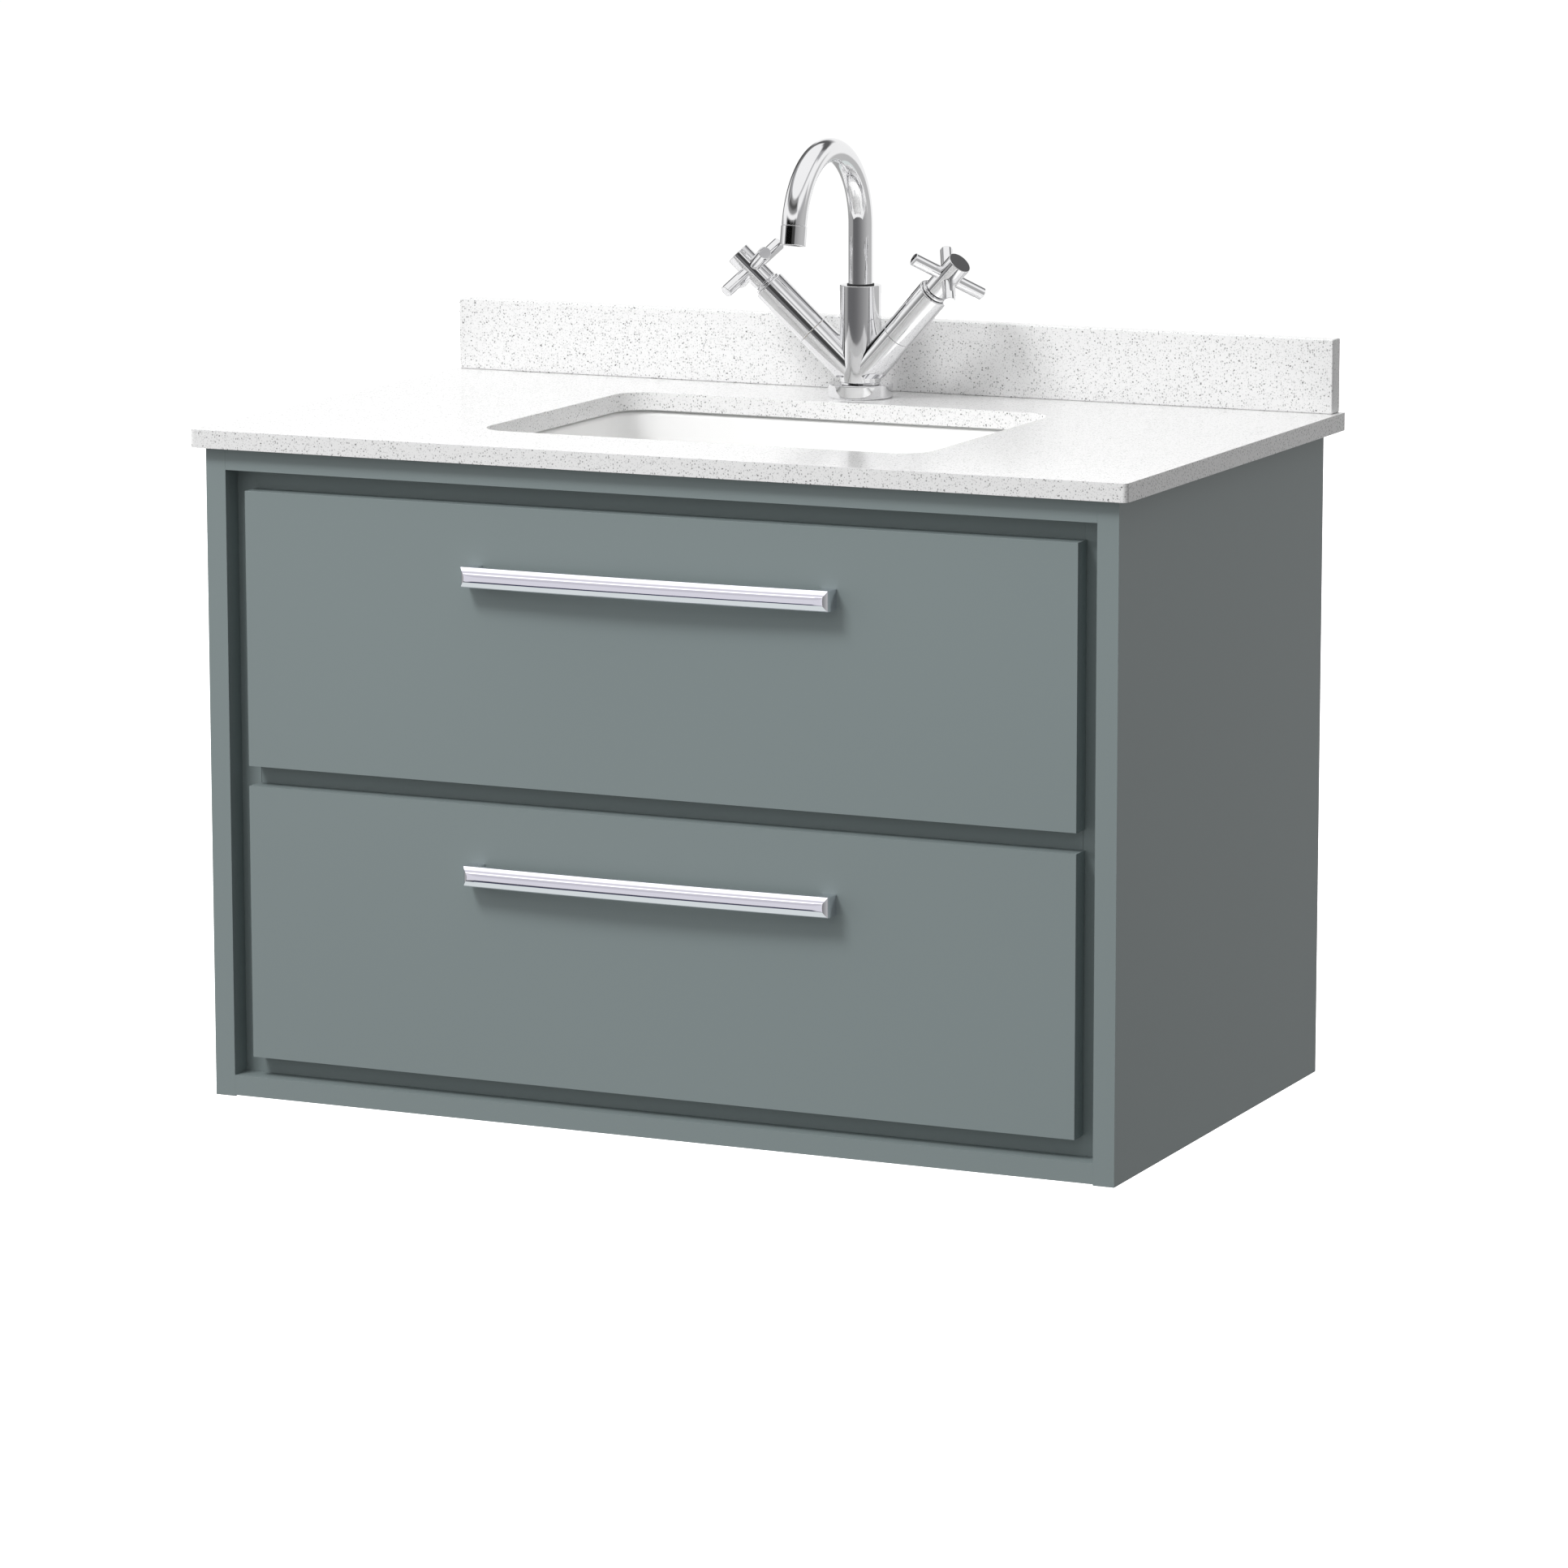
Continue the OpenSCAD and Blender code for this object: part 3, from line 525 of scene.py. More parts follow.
class Shape:
    """A mesh gathered part by part, in metres."""

    def __init__(self):
        self.mesh = bmesh.new()

    def loft(self, rings, closed=False, place=Matrix()):
        """Skin rings of equally many points, and cap the ends unless the rings close on themselves."""
        rows = [[self.mesh.verts.new(place @ Vector(p)) for p in ring] for ring in rings]
        count = len(rows[0])
        pairs = list(zip(rows, rows[1:])) + ([(rows[-1], rows[0])] if closed else [])
        for low, high in pairs:
            for i in range(count):
                k = (i + 1) % count
                self.mesh.faces.new((low[i], low[k], high[k], high[i]))
        if not closed:
            self.mesh.faces.new(reversed(rows[0]))
            self.mesh.faces.new(rows[-1])

    def turn(self, profile, place=Matrix(), sides=96):
        """Turn a (radius, height) profile about the local Z axis."""
        self.loft([circle(radius, height, sides) for radius, height in profile], place=place)

    def piece(self, name, finish, body, nodes, sharp=35.0, even=True):
        """Make the object, which rides on a body, stands for CAD nodes and takes a slot's finish.

        Edges past sharp degrees stay crisp. Even keeps flat faces flat beside narrow rounded edges.
        """
        bmesh.ops.remove_doubles(self.mesh, verts=self.mesh.verts, dist=1e-6)
        bmesh.ops.dissolve_degenerate(self.mesh, edges=self.mesh.edges, dist=1e-7)
        bmesh.ops.recalc_face_normals(self.mesh, faces=self.mesh.faces)
        if not self.mesh.faces:
            raise RuntimeError(f"{name} has no faces")
        data = bpy.data.meshes.new(name)
        self.mesh.to_mesh(data)
        self.mesh.free()
        data.materials.append(finish_of(finish))
        data.polygons.foreach_set("use_smooth", [True] * len(data.polygons))
        data.set_sharp_from_angle(angle=math.radians(sharp))
        made = bpy.data.objects.new(name, data)
        bpy.context.scene.collection.objects.link(made)
        if even:
            settle = made.modifiers.new("even_normals", "WEIGHTED_NORMAL")
            settle.keep_sharp = True
            settle.weight = 60
        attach(made, body)
        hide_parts(*nodes)
        return made


def keep_node(node, finish, edge, steps=2):
    """Give a CAD node its finish and soften its edges, without touching its mesh."""
    made = frame["nodes"][node]
    made.data.materials.clear()
    made.data.materials.append(finish_of(finish))
    made.data.polygons.foreach_set("use_smooth", [True] * len(made.data.polygons))
    weld = made.modifiers.new("weld", "WELD")
    weld.merge_threshold = 0.000002
    if edge:
        plane = made.modifiers.new("plane", "DECIMATE")
        plane.decimate_type = "DISSOLVE"
        plane.angle_limit = math.radians(0.2)
        bevel = made.modifiers.new("edge", "BEVEL")
        bevel.width = edge
        bevel.segments = steps
        bevel.limit_method = "ANGLE"
        bevel.angle_limit = math.radians(50)
        bevel.use_clamp_overlap = True
    settle = made.modifiers.new("even_normals", "WEIGHTED_NORMAL")
    settle.weight = 80


def along(origin, axis, side=None):
    """A place at origin whose local Z runs along axis, and whose local X lies nearest to side."""
    z = Vector(axis).normalized()
    x = Vector(side) if side else z.orthogonal()
    x = (x - z * x.dot(z)).normalized()
    turned = Matrix((x, z.cross(x), z)).transposed()
    return Matrix.Translation(origin) @ turned.to_4x4()


def joint_line(name):
    """The point and direction of a joint's axis."""
    joint = next(j for j in frame["joints"] if j["name"] == name)
    return Vector(joint["pos_m"]), Vector(joint["axis"]).normalized()


def body_holding(node):
    """The body that a CAD node moves with."""
    return frame["nodes"][node]["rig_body"]


# ---- pieces ----


class VanityOperator(Operator):
    """What the operators share."""

    bl_options = {"REGISTER", "UNDO"}

    @property
    def shapes(self):
        return bpy.context.scene.vanity_shapes


class VANITY_OT_painted_boards(VanityOperator):
    """Paint the frame, the carcass and the drawer fronts, and round their edges"""

    bl_idname = "vanity.painted_boards"
    bl_label = "Painted boards"

    def execute(self, context):
        for node in (
            "side_panel_left", "side_panel_right", "top_rail", "bottom_panel", "carcass_side_left",
            "carcass_side_right", "carcass_base", "carcass_top_rail", "carcass_mid_rail",
        ):
            keep_node(node, "satin_paint", self.shapes.board_edge * 0.45)
        for node in ("upper_drawer_front", "lower_drawer_front"):
            keep_node(node, "satin_paint", self.shapes.board_edge, 3)
        return {"FINISHED"}


class VANITY_OT_white_boards(VanityOperator):
    """Finish the back panel and the drawer boxes in white foil"""

    bl_idname = "vanity.white_boards"
    bl_label = "White boards"

    def execute(self, context):
        for node in (
            "back_panel", "upper_box_sides", "upper_box_back", "upper_box_base",
            "lower_box_sides", "lower_box_back", "lower_box_base",
        ):
            keep_node(node, "foil_board", 0.0005)
        return {"FINISHED"}


class VANITY_OT_timber(VanityOperator):
    """Finish the hanging rails, battens and dowels as sawn timber"""

    bl_idname = "vanity.timber"
    bl_label = "Timber"

    def execute(self, context):
        for node in ("hanging_rail", "lower_rail", "wall_batten_upper", "wall_batten_lower"):
            keep_node(node, "sawn_pine", 0.0012)
        keep_node("frame_dowels", "sawn_pine", 0.0004)
        return {"FINISHED"}


class VANITY_OT_steel(VanityOperator):
    """Finish the screws, clips and drawer runners in zinc plate"""

    bl_idname = "vanity.steel"
    bl_label = "Steel fittings"

    def execute(self, context):
        for node in (
            "carcass_screws", "panel_screws", "batten_screws", "basin_clip_screws",
            "upper_handle_screws", "lower_handle_screws",
        ):
            keep_node(node, "zinc_plate", 0.0003)
        for node in (
            "basin_clips", "upper_runner_outer", "upper_runner_middle", "upper_runner_inner",
            "lower_runner_outer", "lower_runner_middle", "lower_runner_inner",
        ):
            keep_node(node, "zinc_plate", 0.00035)
        return {"FINISHED"}


class VANITY_OT_stone(VanityOperator):
    """Polish the worktop and the upstand"""

    bl_idname = "vanity.stone"
    bl_label = "Stone"

    def execute(self, context):
        for node in ("worktop", "upstand"):
            keep_node(node, "flecked_stone", self.shapes.stone_edge, 3)
        return {"FINISHED"}


class VANITY_OT_basin(VanityOperator):
    """Build the undermounted basin, with its overflow duct and the sealant under the stone"""

    bl_idname = "vanity.basin"
    bl_label = "Basin"

    def execute(self, context):
        s = self.shapes
        low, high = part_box("basin")
        top = high.z
        flange_out = 0.016
        flange_thick = 0.012
        chamfer = 0.0015
        lip = 0.004
        floor = top - 0.1345
        under = floor - 0.012
        boss_low = floor - 0.018
        seat = floor - 0.007
        inner = (s.bowl_wide / 2, s.bowl_deep / 2)
        outer = (inner[0] + s.bowl_wall, inner[1] + s.bowl_wall)
        outer_corner = s.bowl_corner + s.bowl_wall
        flange = (inner[0] + flange_out, inner[1] + flange_out)
        flange_corner = s.bowl_corner + flange_out
        middle = (0.0, high.y - flange[1])
        edge = s.bowl_floor_edge

        def ring(size, corner, z):
            return round_box(size[0], size[1], corner, z, middle)

        def shrunk(size, inset):
            return (size[0] - inset, size[1] - inset)

        def foot(size, corner, radius, bottom, steps=12):
            """Rings of the curve between upright walls and a level floor."""
            rings = []
            for k in range(steps + 1):
                angle = math.radians(90 * k / steps)
                inset = radius * (1 - math.cos(angle))
                wider = corner + inset * 0.7
                rings.append(ring(shrunk(size, inset), wider, bottom + radius * (1 - math.sin(angle))))
            return rings

        pattern = ring(inner, s.bowl_corner, 0.0)

        def disc(radius, z):
            return disc_ring(pattern, radius, z, middle)

        # from the bottom up: the bore for the waste, the seat of its flange, the dish and the walls
        inside = [disc(0.0225, boss_low), disc(0.0225, seat - 0.0005), disc(0.0232, seat)]
        inside += [disc(0.0324, seat), disc(0.0324, floor - 0.0034), disc(0.0332, floor - 0.003)]
        inside += [disc(0.050, floor - 0.0024), disc(0.080, floor - 0.0009), disc(0.098, floor)]
        inside += reversed(foot(inner, s.bowl_corner, edge, floor))
        inside += [ring(inner, s.bowl_corner, top - 0.030), ring(inner, s.bowl_corner, top - lip)]
        for k in range(1, 6):
            angle = math.radians(18 * k)
            grow = lip * (1 - math.cos(angle))
            inside.append(ring(shrunk(inner, -grow), s.bowl_corner + grow, top - lip * (1 - math.sin(angle))))
        outside = [
            ring(shrunk(flange, chamfer), flange_corner - chamfer, top),
            ring(flange, flange_corner, top - chamfer),
            ring(flange, flange_corner, top - flange_thick + chamfer),
            ring(shrunk(flange, chamfer), flange_corner - chamfer, top - flange_thick),
            ring(outer, outer_corner, top - flange_thick),
        ]
        outside += foot(outer, outer_corner, edge + s.bowl_wall, under)
        outside += [disc(0.036, under), disc(0.036, boss_low)]
        shell = Shape()
        shell.loft(inside + outside, closed=True)
        bowl = shell.piece("basin_bowl", "white_glaze", "cabinet", ["basin"], 50.0)

        # the overflow hole is cut through the front wall into the duct behind it
        hole_low, hole_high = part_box("overflow_ring")
        hole = (hole_low + hole_high) / 2
        cutter = Shape()
        cutter.turn([(0.0118, -0.016), (0.0118, 0.016)], along((hole.x, hole_low.y, hole.z), (0, 1, 0)), 48)
        drill = cutter.piece("overflow_drill", "white_glaze", "cabinet", [])
        cut = bowl.modifiers.new("overflow_hole", "BOOLEAN")
        cut.object = drill
        cut.solver = "EXACT"
        bowl.modifiers.move(len(bowl.modifiers) - 1, 0)
        cut_mesh = bpy.data.meshes.new_from_object(
            bowl.evaluated_get(context.evaluated_depsgraph_get())
        )
        bowl.modifiers.remove(bowl.modifiers[0])
        bowl.data = cut_mesh
        bpy.data.objects.remove(drill)

        # an upright duct in front of the bowl, and a level one from its foot to the waste
        duct = Shape()
        front = middle[1] - outer[1]
        inset = 0.003
        for duct_top, duct_back in (
            (top - 0.0185, front + 0.004),
            (floor - 0.006, middle[1] - 0.030),
        ):
            wide = 0.018
            deep = (duct_back - low.y) / 2
            centre = (0.0, (low.y + duct_back) / 2)
            duct.loft([
                round_box(wide - inset, deep - inset, 0.003, boss_low, centre, 4),
                round_box(wide, deep, 0.005, boss_low + inset, centre, 4),
                round_box(wide, deep, 0.005, duct_top - inset, centre, 4),
                round_box(wide - inset, deep - inset, 0.003, duct_top, centre, 4),
            ])
        drilled = duct.piece("overflow_duct", "white_glaze", "cabinet", ["basin"], 50.0)
        drilled.modifiers.clear()
        keep_node("basin_seal", "clear_sealant", 0.0)
        return {"FINISHED"}


class VANITY_OT_waste(VanityOperator):
    """Build the waste's plug and the overflow ring, and finish the parts under the basin"""

    bl_idname = "vanity.waste"
    bl_label = "Waste"

    def execute(self, context):
        keep_node("waste_body", "tap_chrome", 0.0)
        keep_node("waste_seals", "black_rubber", 0.0)
        keep_node("waste_backnut", "turned_brass", 0.0006)
        low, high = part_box("waste_plug")
        centre = Vector(((low.x + high.x) / 2, (low.y + high.y) / 2, high.z))
        plug = Shape()
        cap = rounded([
            (0.0, -0.0070), (0.0300, -0.0070, 0.0004), (0.0310, -0.0058, 0.0004),
            (0.0310, -0.0036, 0.0012), (0.0290, -0.0024, 0.006), (0.0180, -0.0009, 0.03), (0.0, -0.0001),
        ], 5)
        plug.turn(cap, Matrix.Translation(centre), 128)
        stem = high.z - low.z
        plug.turn([(0.014, -0.0125), (0.014, -0.0068)], Matrix.Translation(centre), 64)
        plug.turn(
            rounded([(0.0, -stem), (0.005, -stem, 0.0006), (0.005, -0.0068)]),
            Matrix.Translation(centre), 48,
        )
        plug.piece("plug_cap", "tap_chrome", body_holding("waste_plug"), ["waste_plug"])

        low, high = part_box("overflow_ring")
        across = (low + high) / 2
        ring = Shape()
        outline = rounded([
            (0.0098, -0.0060), (0.0119, -0.0060), (0.0119, 0.0), (0.0160, 0.0, 0.0003),
            (0.0156, 0.0018, 0.0008), (0.0112, 0.0018, 0.0008), (0.0098, 0.0006, 0.001), (0.0098, -0.0060),
        ])
        place = along((across.x, high.y - 0.0018, across.z), (0, 1, 0))
        ring.loft([circle(radius, height, 72) for radius, height in outline[:-1]], True, place)
        ring.piece("overflow_trim", "tap_chrome", "cabinet", ["overflow_ring"])
        return {"FINISHED"}


class VANITY_OT_tap_body(VanityOperator):
    """Build the tap's base, column, arms, sleeves and neck rings, and finish its fixings"""

    bl_idname = "vanity.tap_body"
    bl_label = "Tap body"

    def execute(self, context):
        s = self.shapes
        low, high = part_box("tap_base_ring")
        radius = (high.x - low.x) / 2
        tap = Vector(((low.x + high.x) / 2, (low.y + high.y) / 2, 0.0))
        base = Shape()
        base.turn(
            rounded([(0.0, low.z), (radius - 0.0009, low.z, 0.0002), (radius, low.z + 0.0009, 0.0003),
                     (radius, high.z, 0.0012), (0.0, high.z)], 6),
            Matrix.Translation(tap), 160,
        )
        base.piece("base_ring", "tap_chrome", "cabinet", ["tap_base_ring"])

        foot = high.z
        ring_low, ring_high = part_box("spout_ring")
        crown = ring_low.z
        wide = s.column_radius
        well = (ring_high.x - ring_low.x) / 2 - 0.0010
        body = Shape()
        body.turn(
            rounded([
                (0.0, foot), (wide - 0.0012, foot), (wide - 0.0012, foot + 0.0008),
                (wide, foot + 0.0014, 0.0003), (wide, crown, 0.0006), (well, crown, 0.0003),
                (well, crown - 0.010), (0.0, crown - 0.010),
            ], 5),
            Matrix.Translation(tap), 160,
        )
        shoulder = foot + 0.0055
        for name in ("cold_valve_turn", "hot_valve_turn"):
            origin, axis = joint_line(name)
            arm = Shape()
            arm.turn(
                rounded([(0.0, 0.004), (s.arm_radius, 0.004), (s.arm_radius, s.arm_joint, 0.0004),
                         (s.arm_radius - 0.002, s.arm_joint), (0.0, s.arm_joint)], 4),
                along(origin, axis, UP), 144,
            )
            bmesh.ops.bisect_plane(
                arm.mesh, geom=[*arm.mesh.verts, *arm.mesh.edges, *arm.mesh.faces], dist=1e-7,
                plane_co=(0, 0, shoulder), plane_no=(0, 0, -1), clear_outer=True,
            )
            rim = [e for e in arm.mesh.edges if e.is_boundary]
            bmesh.ops.edgenet_fill(arm.mesh, edges=rim)
            part = bpy.data.meshes.new("arm")
            arm.mesh.to_mesh(part)
            arm.mesh.free()
            body.mesh.from_mesh(part)
            bpy.data.meshes.remove(part)
        body.piece("tap_column", "tap_chrome", "cabinet", ["tap_body"], 30.0)

        sleeves = Shape()
        necks = Shape()
        for name in ("cold_valve_turn", "hot_valve_turn"):
            place = along(*joint_line(name), UP)
            sleeves.turn(
                rounded([
                    (0.0, s.arm_joint + 0.0002), (s.arm_radius - 0.002, s.arm_joint + 0.0002),
                    (s.arm_radius, s.arm_joint + 0.0002, 0.0005), (s.arm_radius, s.arm_end, 0.0009),
                    (0.0115, s.arm_end, 0.0004), (0.0110, s.arm_end - 0.0012), (0.0, s.arm_end - 0.0012),
                ], 5), place, 144,
            )
            necks.turn(
                rounded([
                    (0.0, s.arm_end - 0.001), (0.0108, s.arm_end - 0.001), (0.0108, s.arm_end + 0.0004),
                    (0.0120, s.arm_end + 0.0006, 0.0005), (0.0120, s.arm_end + 0.0027, 0.0008),
                    (0.0, s.arm_end + 0.0027),
                ], 5), place, 96,
            )
        sleeves.piece("arm_sleeves", "tap_chrome", "cabinet", ["valve_sleeves"])
        necks.piece("neck_rings", "tap_chrome", "cabinet", ["valve_neck_rings"])
        for node in ("tap_shank", "tap_backnut", "valve_cartridges"):
            keep_node(node, "turned_brass", 0.0004)
        keep_node("spout_ring", "black_rubber", 0.0)
        return {"FINISHED"}


class VANITY_OT_cross_handles(VanityOperator):
    """Build the two cross handles, each with a hub and four round spokes"""

    bl_idname = "vanity.cross_handles"
    bl_label = "Cross handles"

    def execute(self, context):
        s = self.shapes
        spokes_at = 0.131
        spoke_turn = 50
        for node, joint, hand in (
            ("cold_handle", "cold_valve_turn", 1), ("hot_handle", "hot_valve_turn", -1),
        ):
            origin, axis = joint_line(joint)
            # the spokes are set off from the upright plane through the arm
            across = Vector((axis.x, axis.y, 0)).normalized()
            level = along(origin, axis, across - axis * across.dot(axis))
            flip = Matrix.Rotation(math.pi, 4, "Z")
            place = level @ flip if (level.to_3x3() @ Vector((1, 0, 0))).z > 0 else level
            start = s.arm_end + 0.003
            handle = Shape()
            handle.turn(
                rounded([
                    (0.0, start - 0.012), (0.0045, start - 0.012), (0.0045, start), (0.0095, start, 0.0003),
                    (s.hub_radius, start + 0.0009, 0.0004), (s.hub_radius, s.hub_end, 0.0005),
                    (0.0, s.hub_end),
                ], 5), place, 112,
            )
            for quarter in (0, 90):
                turn = Matrix.Rotation(math.radians(hand * spoke_turn + quarter), 4, "Z")
                lay = Matrix.Rotation(math.radians(90), 4, "Y")
                spoke = place @ Matrix.Translation((0, 0, spokes_at)) @ turn @ lay
                half = s.spoke_span / 2
                handle.turn(
                    rounded([(0.0, -half), (s.spoke_radius, -half, 0.0005), (s.spoke_radius, half, 0.0005),
                             (0.0, half)], 5), spoke, 72,
                )
            handle.piece(f"cross_{node}", "tap_chrome", body_holding(node), [node])
        return {"FINISHED"}


class VANITY_OT_spout(VanityOperator):
    """Build the swan-neck spout and its aerator"""

    bl_idname = "vanity.spout"
    bl_label = "Spout"

    def execute(self, context):
        s = self.shapes
        low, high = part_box("tap_base_ring")
        centre_y = (low.y + high.y) / 2
        spout_low, spout_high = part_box("spout")
        bend = Vector((0.0, centre_y - s.bend_radius, spout_high.z - s.bend_radius - s.tube_radius))
        sweep = math.radians(170)

        def ring(place):
            return [place @ Vector(point) for point in circle(s.tube_radius, 0, 96)]

        def station(turn):
            """The tube's place after this much of the bend, with Z along the tube."""
            around = Matrix.Translation(bend) @ Matrix.Rotation(turn, 4, "X")
            return around @ Matrix.Translation((0, s.bend_radius, 0))

        tube = Shape()
        foot = Matrix.Translation((0.0, centre_y, spout_low.z + 0.0002))
        rings = [ring(foot)]
        for k in range(1, 7):
            rise = (bend.z - spout_low.z) * k / 7
            rings.append(ring(foot @ Matrix.Translation((0, 0, rise))))
        rings += [ring(station(sweep * k / 72)) for k in range(73)]
        tube.loft(rings)
        tube.piece("spout_tube", "tap_chrome", body_holding("spout"), ["spout"], even=False)

        nozzle = Shape()
        wide = s.tube_radius + 0.0004
        nozzle.turn(
            rounded([
                (0.0, 0.0002), (wide - 0.0006, 0.0002), (wide - 0.0006, 0.0006), (wide, 0.0010, 0.0003),
                (wide, 0.0169, 0.0005), (0.0092, 0.0169, 0.0004), (0.0090, 0.0150), (0.0078, 0.0150),
                (0.0076, 0.0158), (0.0064, 0.0158), (0.0062, 0.0150), (0.0050, 0.0150), (0.0048, 0.0158),
                (0.0036, 0.0158), (0.0034, 0.0150), (0.0022, 0.0150), (0.0020, 0.0158), (0.0, 0.0158),
            ], 4), station(sweep), 112,
        )
        nozzle.piece("nozzle", "tap_chrome", body_holding("aerator"), ["aerator"])
        return {"FINISHED"}


class VANITY_OT_pulls(VanityOperator):
    """Build the bowed drawer handles"""

    bl_idname = "vanity.pulls"
    bl_label = "Drawer handles"

    def outline(self, half, reach, face):
        """The bar seen from above, at a level where its face stands back by face."""
        s = self.shapes
        bar, bow, foot, turn = s.pull_bar, s.pull_bow, s.pull_foot, s.pull_round
        curve = (half * half + bow * bow) / (2 * bow)

        def front(x):
            return -(reach - (curve - math.sqrt(curve * curve - x * x)))

        top = front(half - turn) + turn
        limit = math.asin(max(0.0, min(1.0, 1 - face / turn)))
        right = [(half, 0.0), (half, top * 0.5)]
        for k in range(11):
            angle = limit * k / 10
            right.append((half - turn + turn * math.cos(angle), top - turn * math.sin(angle)))
        end = right[-1][0]
        across = []
        for k in range(1, 40):
            x = end * (1 - 2 * k / 40)
            across.append((x, front(x) + face))
        left = [(-x, y) for x, y in reversed(right)]
        inner = half - foot
        back = front(inner) + bar
        fillet = 0.003
        hollow = [(-inner, 0.0), (-inner, back + fillet)]
        for k in range(1, 5):
            angle = math.radians(22.5 * k)
            x = -inner + fillet * (1 - math.cos(angle))
            hollow.append((x, back + fillet * (1 - math.sin(angle))))
        for k in range(1, 20):
            x = (-inner + fillet) * (1 - 2 * k / 20)
            hollow.append((x, front(x) + bar))
        mirrored = [(-x, y) for x, y in reversed(hollow[:6])]
        return right + across + left + hollow + mirrored

    def execute(self, context):
        face = self.shapes.pull_face
        for level in ("upper", "lower"):
            node = f"{level}_handle"
            low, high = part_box(node)
            half = (high.x - low.x) / 2
            reach = high.y - low.y
            tall = (high.z - low.z) / 2
            middle = Matrix.Translation(((low.x + high.x) / 2, high.y, (low.z + high.z) / 2))
            rings = []
            count = 28
            for k in range(count + 1):
                height = -tall * math.cos(math.pi * k / count)
                back = face - math.sqrt(face * face - height * height)
                rings.append([(x, y, height) for x, y in self.outline(half, reach, back)])
            pull = Shape()
            pull.loft(rings, place=middle)
            pull.piece(f"{level}_pull", "pull_plate", body_holding(node), [node], 24.0, False)
        return {"FINISHED"}


# ---- studio ----


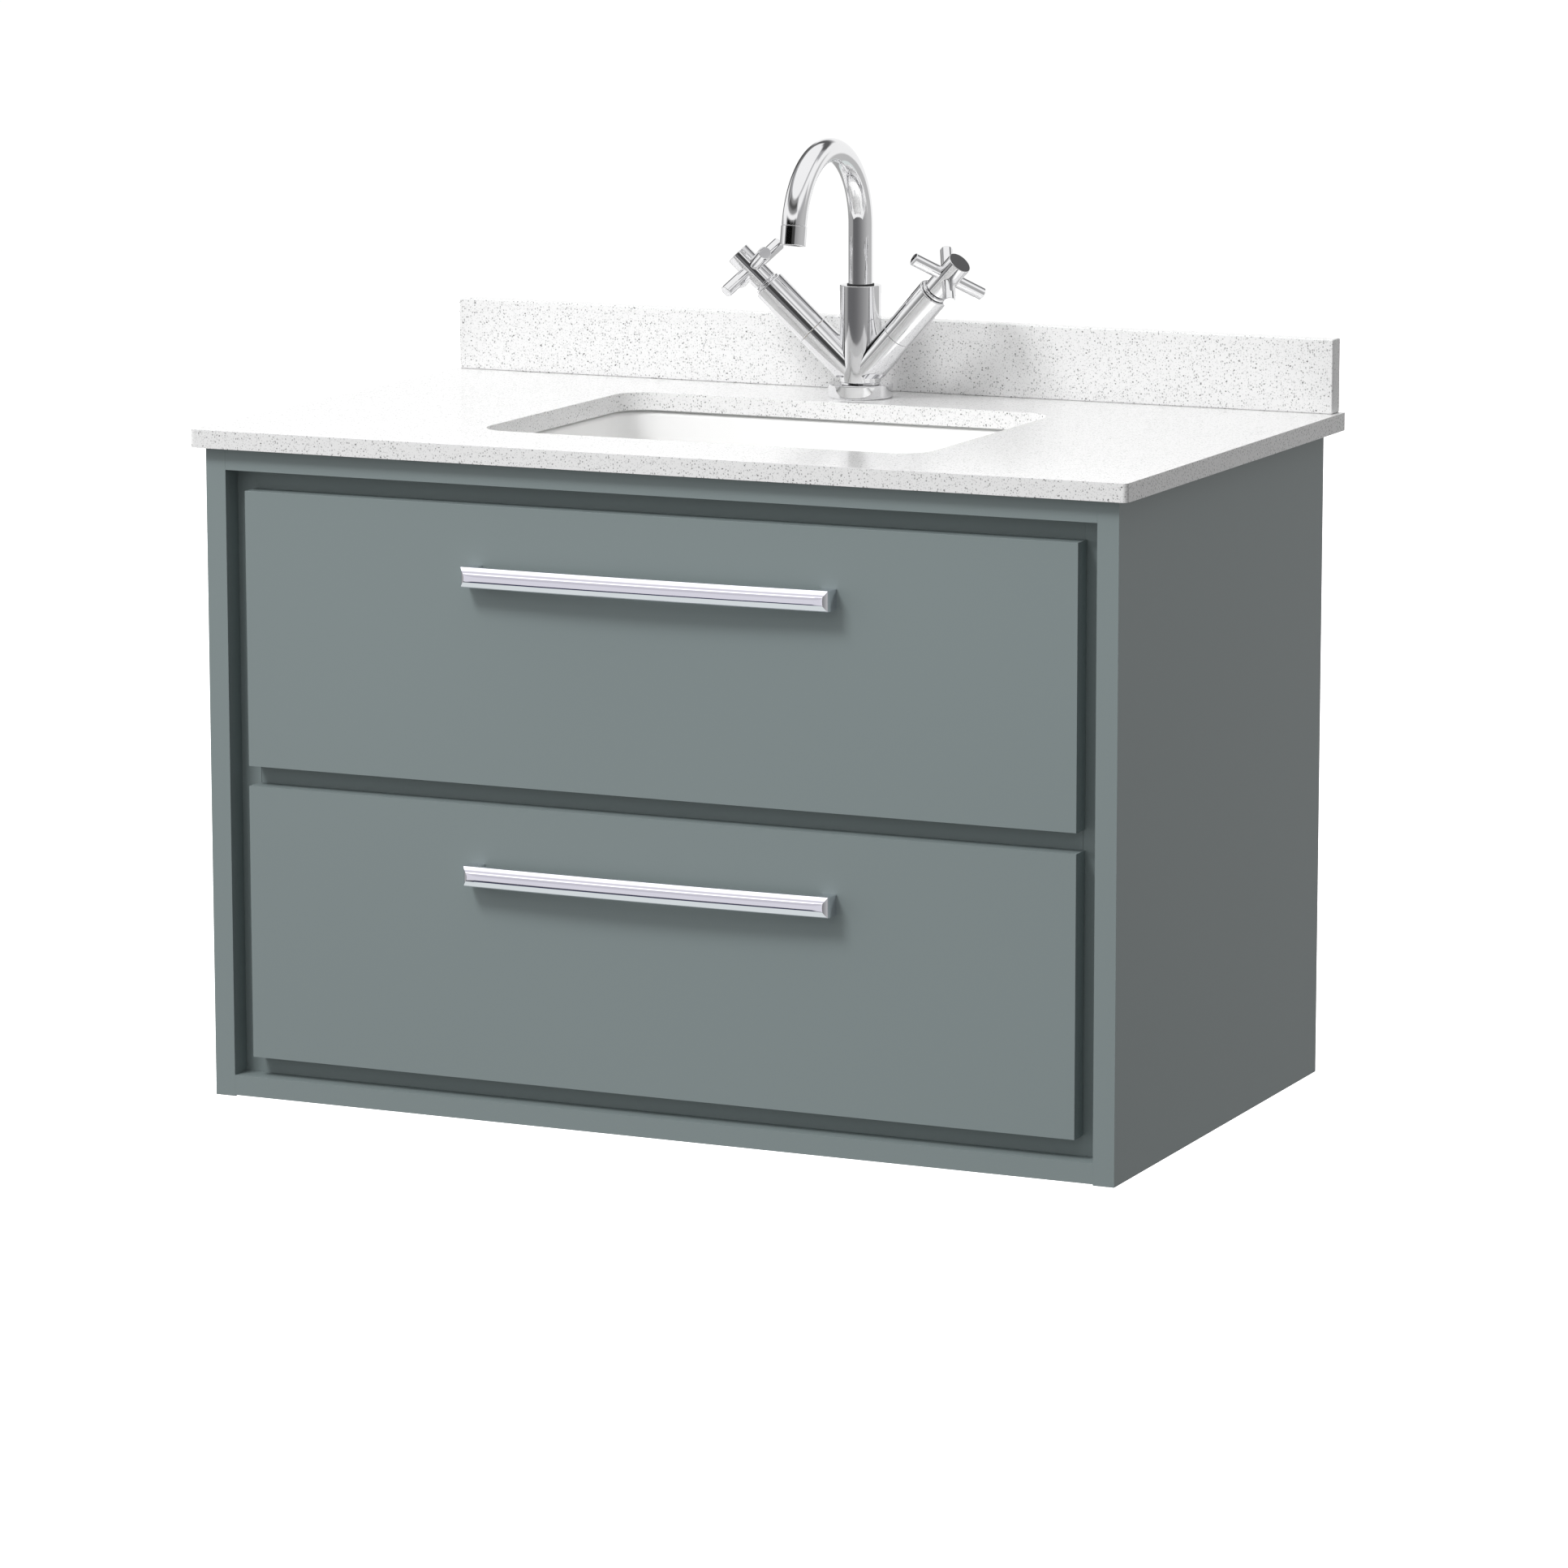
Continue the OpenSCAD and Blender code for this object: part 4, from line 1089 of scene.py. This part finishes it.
class VANITY_OT_studio(VanityOperator):
    """Set up the floor, the soft lights, the room and the camera"""

    bl_idname = "vanity.studio"
    bl_label = "Studio"

    def floor(self):
        """A plain pale floor, well below the cabinet."""
        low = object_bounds()[0]
        data = bpy.data.meshes.new("studio_floor")
        tool = bmesh.new()
        bmesh.ops.create_grid(tool, x_segments=8, y_segments=8, size=9.0)
        tool.to_mesh(data)
        tool.free()
        made = bpy.data.objects.new("studio_floor", data)
        made.location = (0.0, 0.0, low.z - 0.40)
        bpy.context.scene.collection.objects.link(made)
        material = bpy.data.materials.new("pale_floor")
        material.use_nodes = True
        tree = material.node_tree
        tree.nodes.clear()
        start = Wire(tree)
        mottle = start.node("ShaderNodeTexCoord", output="Object").noise(6.0, 3.0)
        surface = start.node("ShaderNodeBsdfPrincipled", {}, {
            "Base Color": mottle.mix((0.86, 0.86, 0.86), (0.90, 0.90, 0.90)),
            "Roughness": 0.9,
            "Emission Color": (1.0, 1.0, 1.0, 1.0),
            "Emission Strength": 1.0,
        })
        start.node("ShaderNodeOutputMaterial", {}, {"Surface": surface})
        data.materials.append(material)
        made.visible_diffuse = False
        made.visible_glossy = False
        made.visible_shadow = False
        made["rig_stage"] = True

    def light(self, name, spot, aim, size, power, shade=(1, 1, 1), seen=False):
        """A soft rectangular light that looks at a point."""
        data = bpy.data.lights.new(name, "AREA")
        data.shape = "RECTANGLE"
        data.size, data.size_y = size
        data.energy = power
        data.color = shade
        made = bpy.data.objects.new(name, data)
        made.location = spot
        made.rotation_euler = (Vector(aim) - Vector(spot)).to_track_quat("-Z", "Y").to_euler()
        made.visible_camera = False
        made.visible_glossy = seen
        bpy.context.scene.collection.objects.link(made)
        return made

    def room(self, studio):
        """White to the eye, a soft gradient for matt surfaces, and dark and light cards for gloss."""
        world = bpy.data.worlds.new("studio_room")
        world.use_nodes = True
        tree = world.node_tree
        tree.nodes.clear()
        start = Wire(tree)
        way = start.node("ShaderNodeTexCoord", output="Generated")
        x, y, z = (way.node("ShaderNodeSeparateXYZ", {}, {"Vector": way}, axis) for axis in "XYZ")
        rise = z.math("ARCSINE", z) * math.degrees(1)
        swing = x.math("ARCTAN2", x, y * -1.0) * math.degrees(1)
        sky = (studio.sky,) * 3
        ground = (studio.ground,) * 3

        # light for matt surfaces comes more from the left and from straight above
        upward = rise.fade(-35.0, 25.0)
        matt = x.fade(-1.0, 1.0).mix(
            upward.mix(scaled(ground, 1.35), scaled(sky, 1.35)),
            upward.mix(scaled(ground, 0.22), scaled(sky, 0.22)),
        )
        matt = rise.fade(40.0, 80.0).mix(matt, scaled(sky, 1.02))

        # what polished metal sees: each card covers a range of bearings and of heights
        behind = swing.math("ABSOLUTE", swing)
        far_right = swing.fade(-20.0, 115.0)
        base = far_right.mix((0.14, 0.14, 0.145), (0.54, 0.54, 0.54))
        base = swing.fade(-64.0, -44.0, 1.0, 0.0).mix(base, (0.40, 0.40, 0.40))
        gloss = rise.fade(6.0, 22.0).mix(base, (0.42, 0.42, 0.43))
        for bearing, height, soft, level in (
            ((-62.0, 36.0), (25.0, 44.0), 4.0, 0.30),
            ((-56.0, 34.0), (30.0, 37.0), 3.0, 0.10),
            ((-64.0, 50.0), (17.5, 24.5), 2.0, 1.0),
            ((-146.0, -122.0), (-2.0, 38.0), 5.0, 0.08),
            ((-114.0, -58.0), (4.0, 24.0), 4.0, 1.0),
            ((-146.0, -70.0), (24.0, 32.0), 4.0, 0.20),
            ((44.0, 128.0), (22.0, 41.0), 5.0, 1.0),
            ((112.0, 170.0), (9.0, 30.0), 5.0, 1.0),
            ((-30.0, 38.0), (1.5, 17.5), 2.5, 0.06),
            ((-46.0, 12.0), (1.5, 17.5), 2.5, 0.003),
        ):
            card = swing.band(*bearing, soft) * rise.band(*height, soft)
            gloss = card.mix(gloss, (level,) * 3)
        wall = behind.fade(145.0, 151.0) * rise.band(-14.0, 26.0, 4.0)
        gloss = wall.mix(gloss, (0.97, 0.97, 0.97))
        valance = behind.fade(140.0, 152.0) * rise.band(31.0, 46.0, 4.0)
        gloss = valance.mix(gloss, (0.12, 0.12, 0.122))
        gloss = (rise + far_right * -5.0).fade(40.0, 46.0).mix(gloss, (1.0, 1.0, 1.0))
        shelf = rise.band(-38.0, -31.5, 1.5) * swing.band(-75.0, 60.0, 10.0)
        gloss = shelf.mix(gloss, (0.030, 0.030, 0.085))
        gloss = rise.fade(-40.0, -37.0, 1.0, 0.0).mix(gloss, (0.74, 0.79, 0.78))

        seen = start.node("ShaderNodeLightPath", output="Is Camera Ray")
        shiny = start.node("ShaderNodeLightPath", output="Is Glossy Ray")
        lit = shiny.mix(matt, gloss)
        shown = seen.mix(lit, (1.0, 1.0, 1.0))
        strength = seen * 0.02 + 1.0
        surface = start.node("ShaderNodeBackground", {}, {"Color": shown, "Strength": strength})
        start.node("ShaderNodeOutputWorld", {}, {"Surface": surface})
        bpy.context.scene.world = world

    def camera(self, studio):
        """The camera that frames the whole vanity from its front right."""
        data = bpy.data.cameras.new("camera")
        data.lens = studio.lens
        data.sensor_width = 36.0
        data.clip_end = 50.0
        made = bpy.data.objects.new("camera", data)
        made.location = studio.camera_spot
        made.rotation_euler = studio.camera_turn
        bpy.context.scene.collection.objects.link(made)
        bpy.context.scene.camera = made

    def execute(self, context):
        studio = context.scene.vanity_studio
        self.floor()
        self.room(studio)
        self.light("key", (-1.4, -2.9, 3.3), (0, -0.3, -0.1), (1.4, 1.1), studio.key_power)
        pulls = bpy.data.collections.new("handle_card_receivers")
        for name in ("upper_pull", "lower_pull"):
            pulls.objects.link(bpy.data.objects[name])
        card = self.light(
            "handle_card", (-1.2, -1.8, 0.65), (-1.2, -0.94, 0.14), (4.0, 5.9), 49.0, (0.94, 0.92, 1.0), True
        )
        card.light_linking.receiver_collection = pulls
        self.camera(studio)
        context.scene.view_settings.view_transform = "Standard"
        return {"FINISHED"}


class VANITY_PT_sidebar(Panel):
    """Lists the vanity's pieces and settings."""

    bl_label = "Vanity"
    bl_space_type = "VIEW_3D"
    bl_region_type = "UI"
    bl_category = "Vanity"

    def draw(self, context):
        column = self.layout.column(align=True)
        for operator in OPERATORS:
            column.operator(operator.bl_idname)
        for group in (
            context.scene.vanity_finishes, context.scene.vanity_shapes, context.scene.vanity_studio
        ):
            box = self.layout.box()
            for name in group.__annotations__:
                box.prop(group, name)


GROUPS = {
    "vanity_finishes": VanityFinishes,
    "vanity_shapes": VanityShapes,
    "vanity_studio": VanityStudio,
}
OPERATORS = (
    VANITY_OT_painted_boards,
    VANITY_OT_white_boards,
    VANITY_OT_timber,
    VANITY_OT_steel,
    VANITY_OT_stone,
    VANITY_OT_basin,
    VANITY_OT_waste,
    VANITY_OT_tap_body,
    VANITY_OT_cross_handles,
    VANITY_OT_spout,
    VANITY_OT_pulls,
    VANITY_OT_studio,
)


def register():
    for name, group in GROUPS.items():
        bpy.utils.register_class(group)
        setattr(bpy.types.Scene, name, PointerProperty(type=group))
    for cls in (*OPERATORS, VANITY_PT_sidebar):
        bpy.utils.register_class(cls)


def unregister():
    for cls in reversed((*OPERATORS, VANITY_PT_sidebar)):
        bpy.utils.unregister_class(cls)
    for name, group in GROUPS.items():
        delattr(bpy.types.Scene, name)
        bpy.utils.unregister_class(group)


def main():
    """Build every piece."""
    register()
    for operator in OPERATORS:
        family, name = operator.bl_idname.split(".")
        getattr(getattr(bpy.ops, family), name)()


if __name__ == "__main__":
    main()
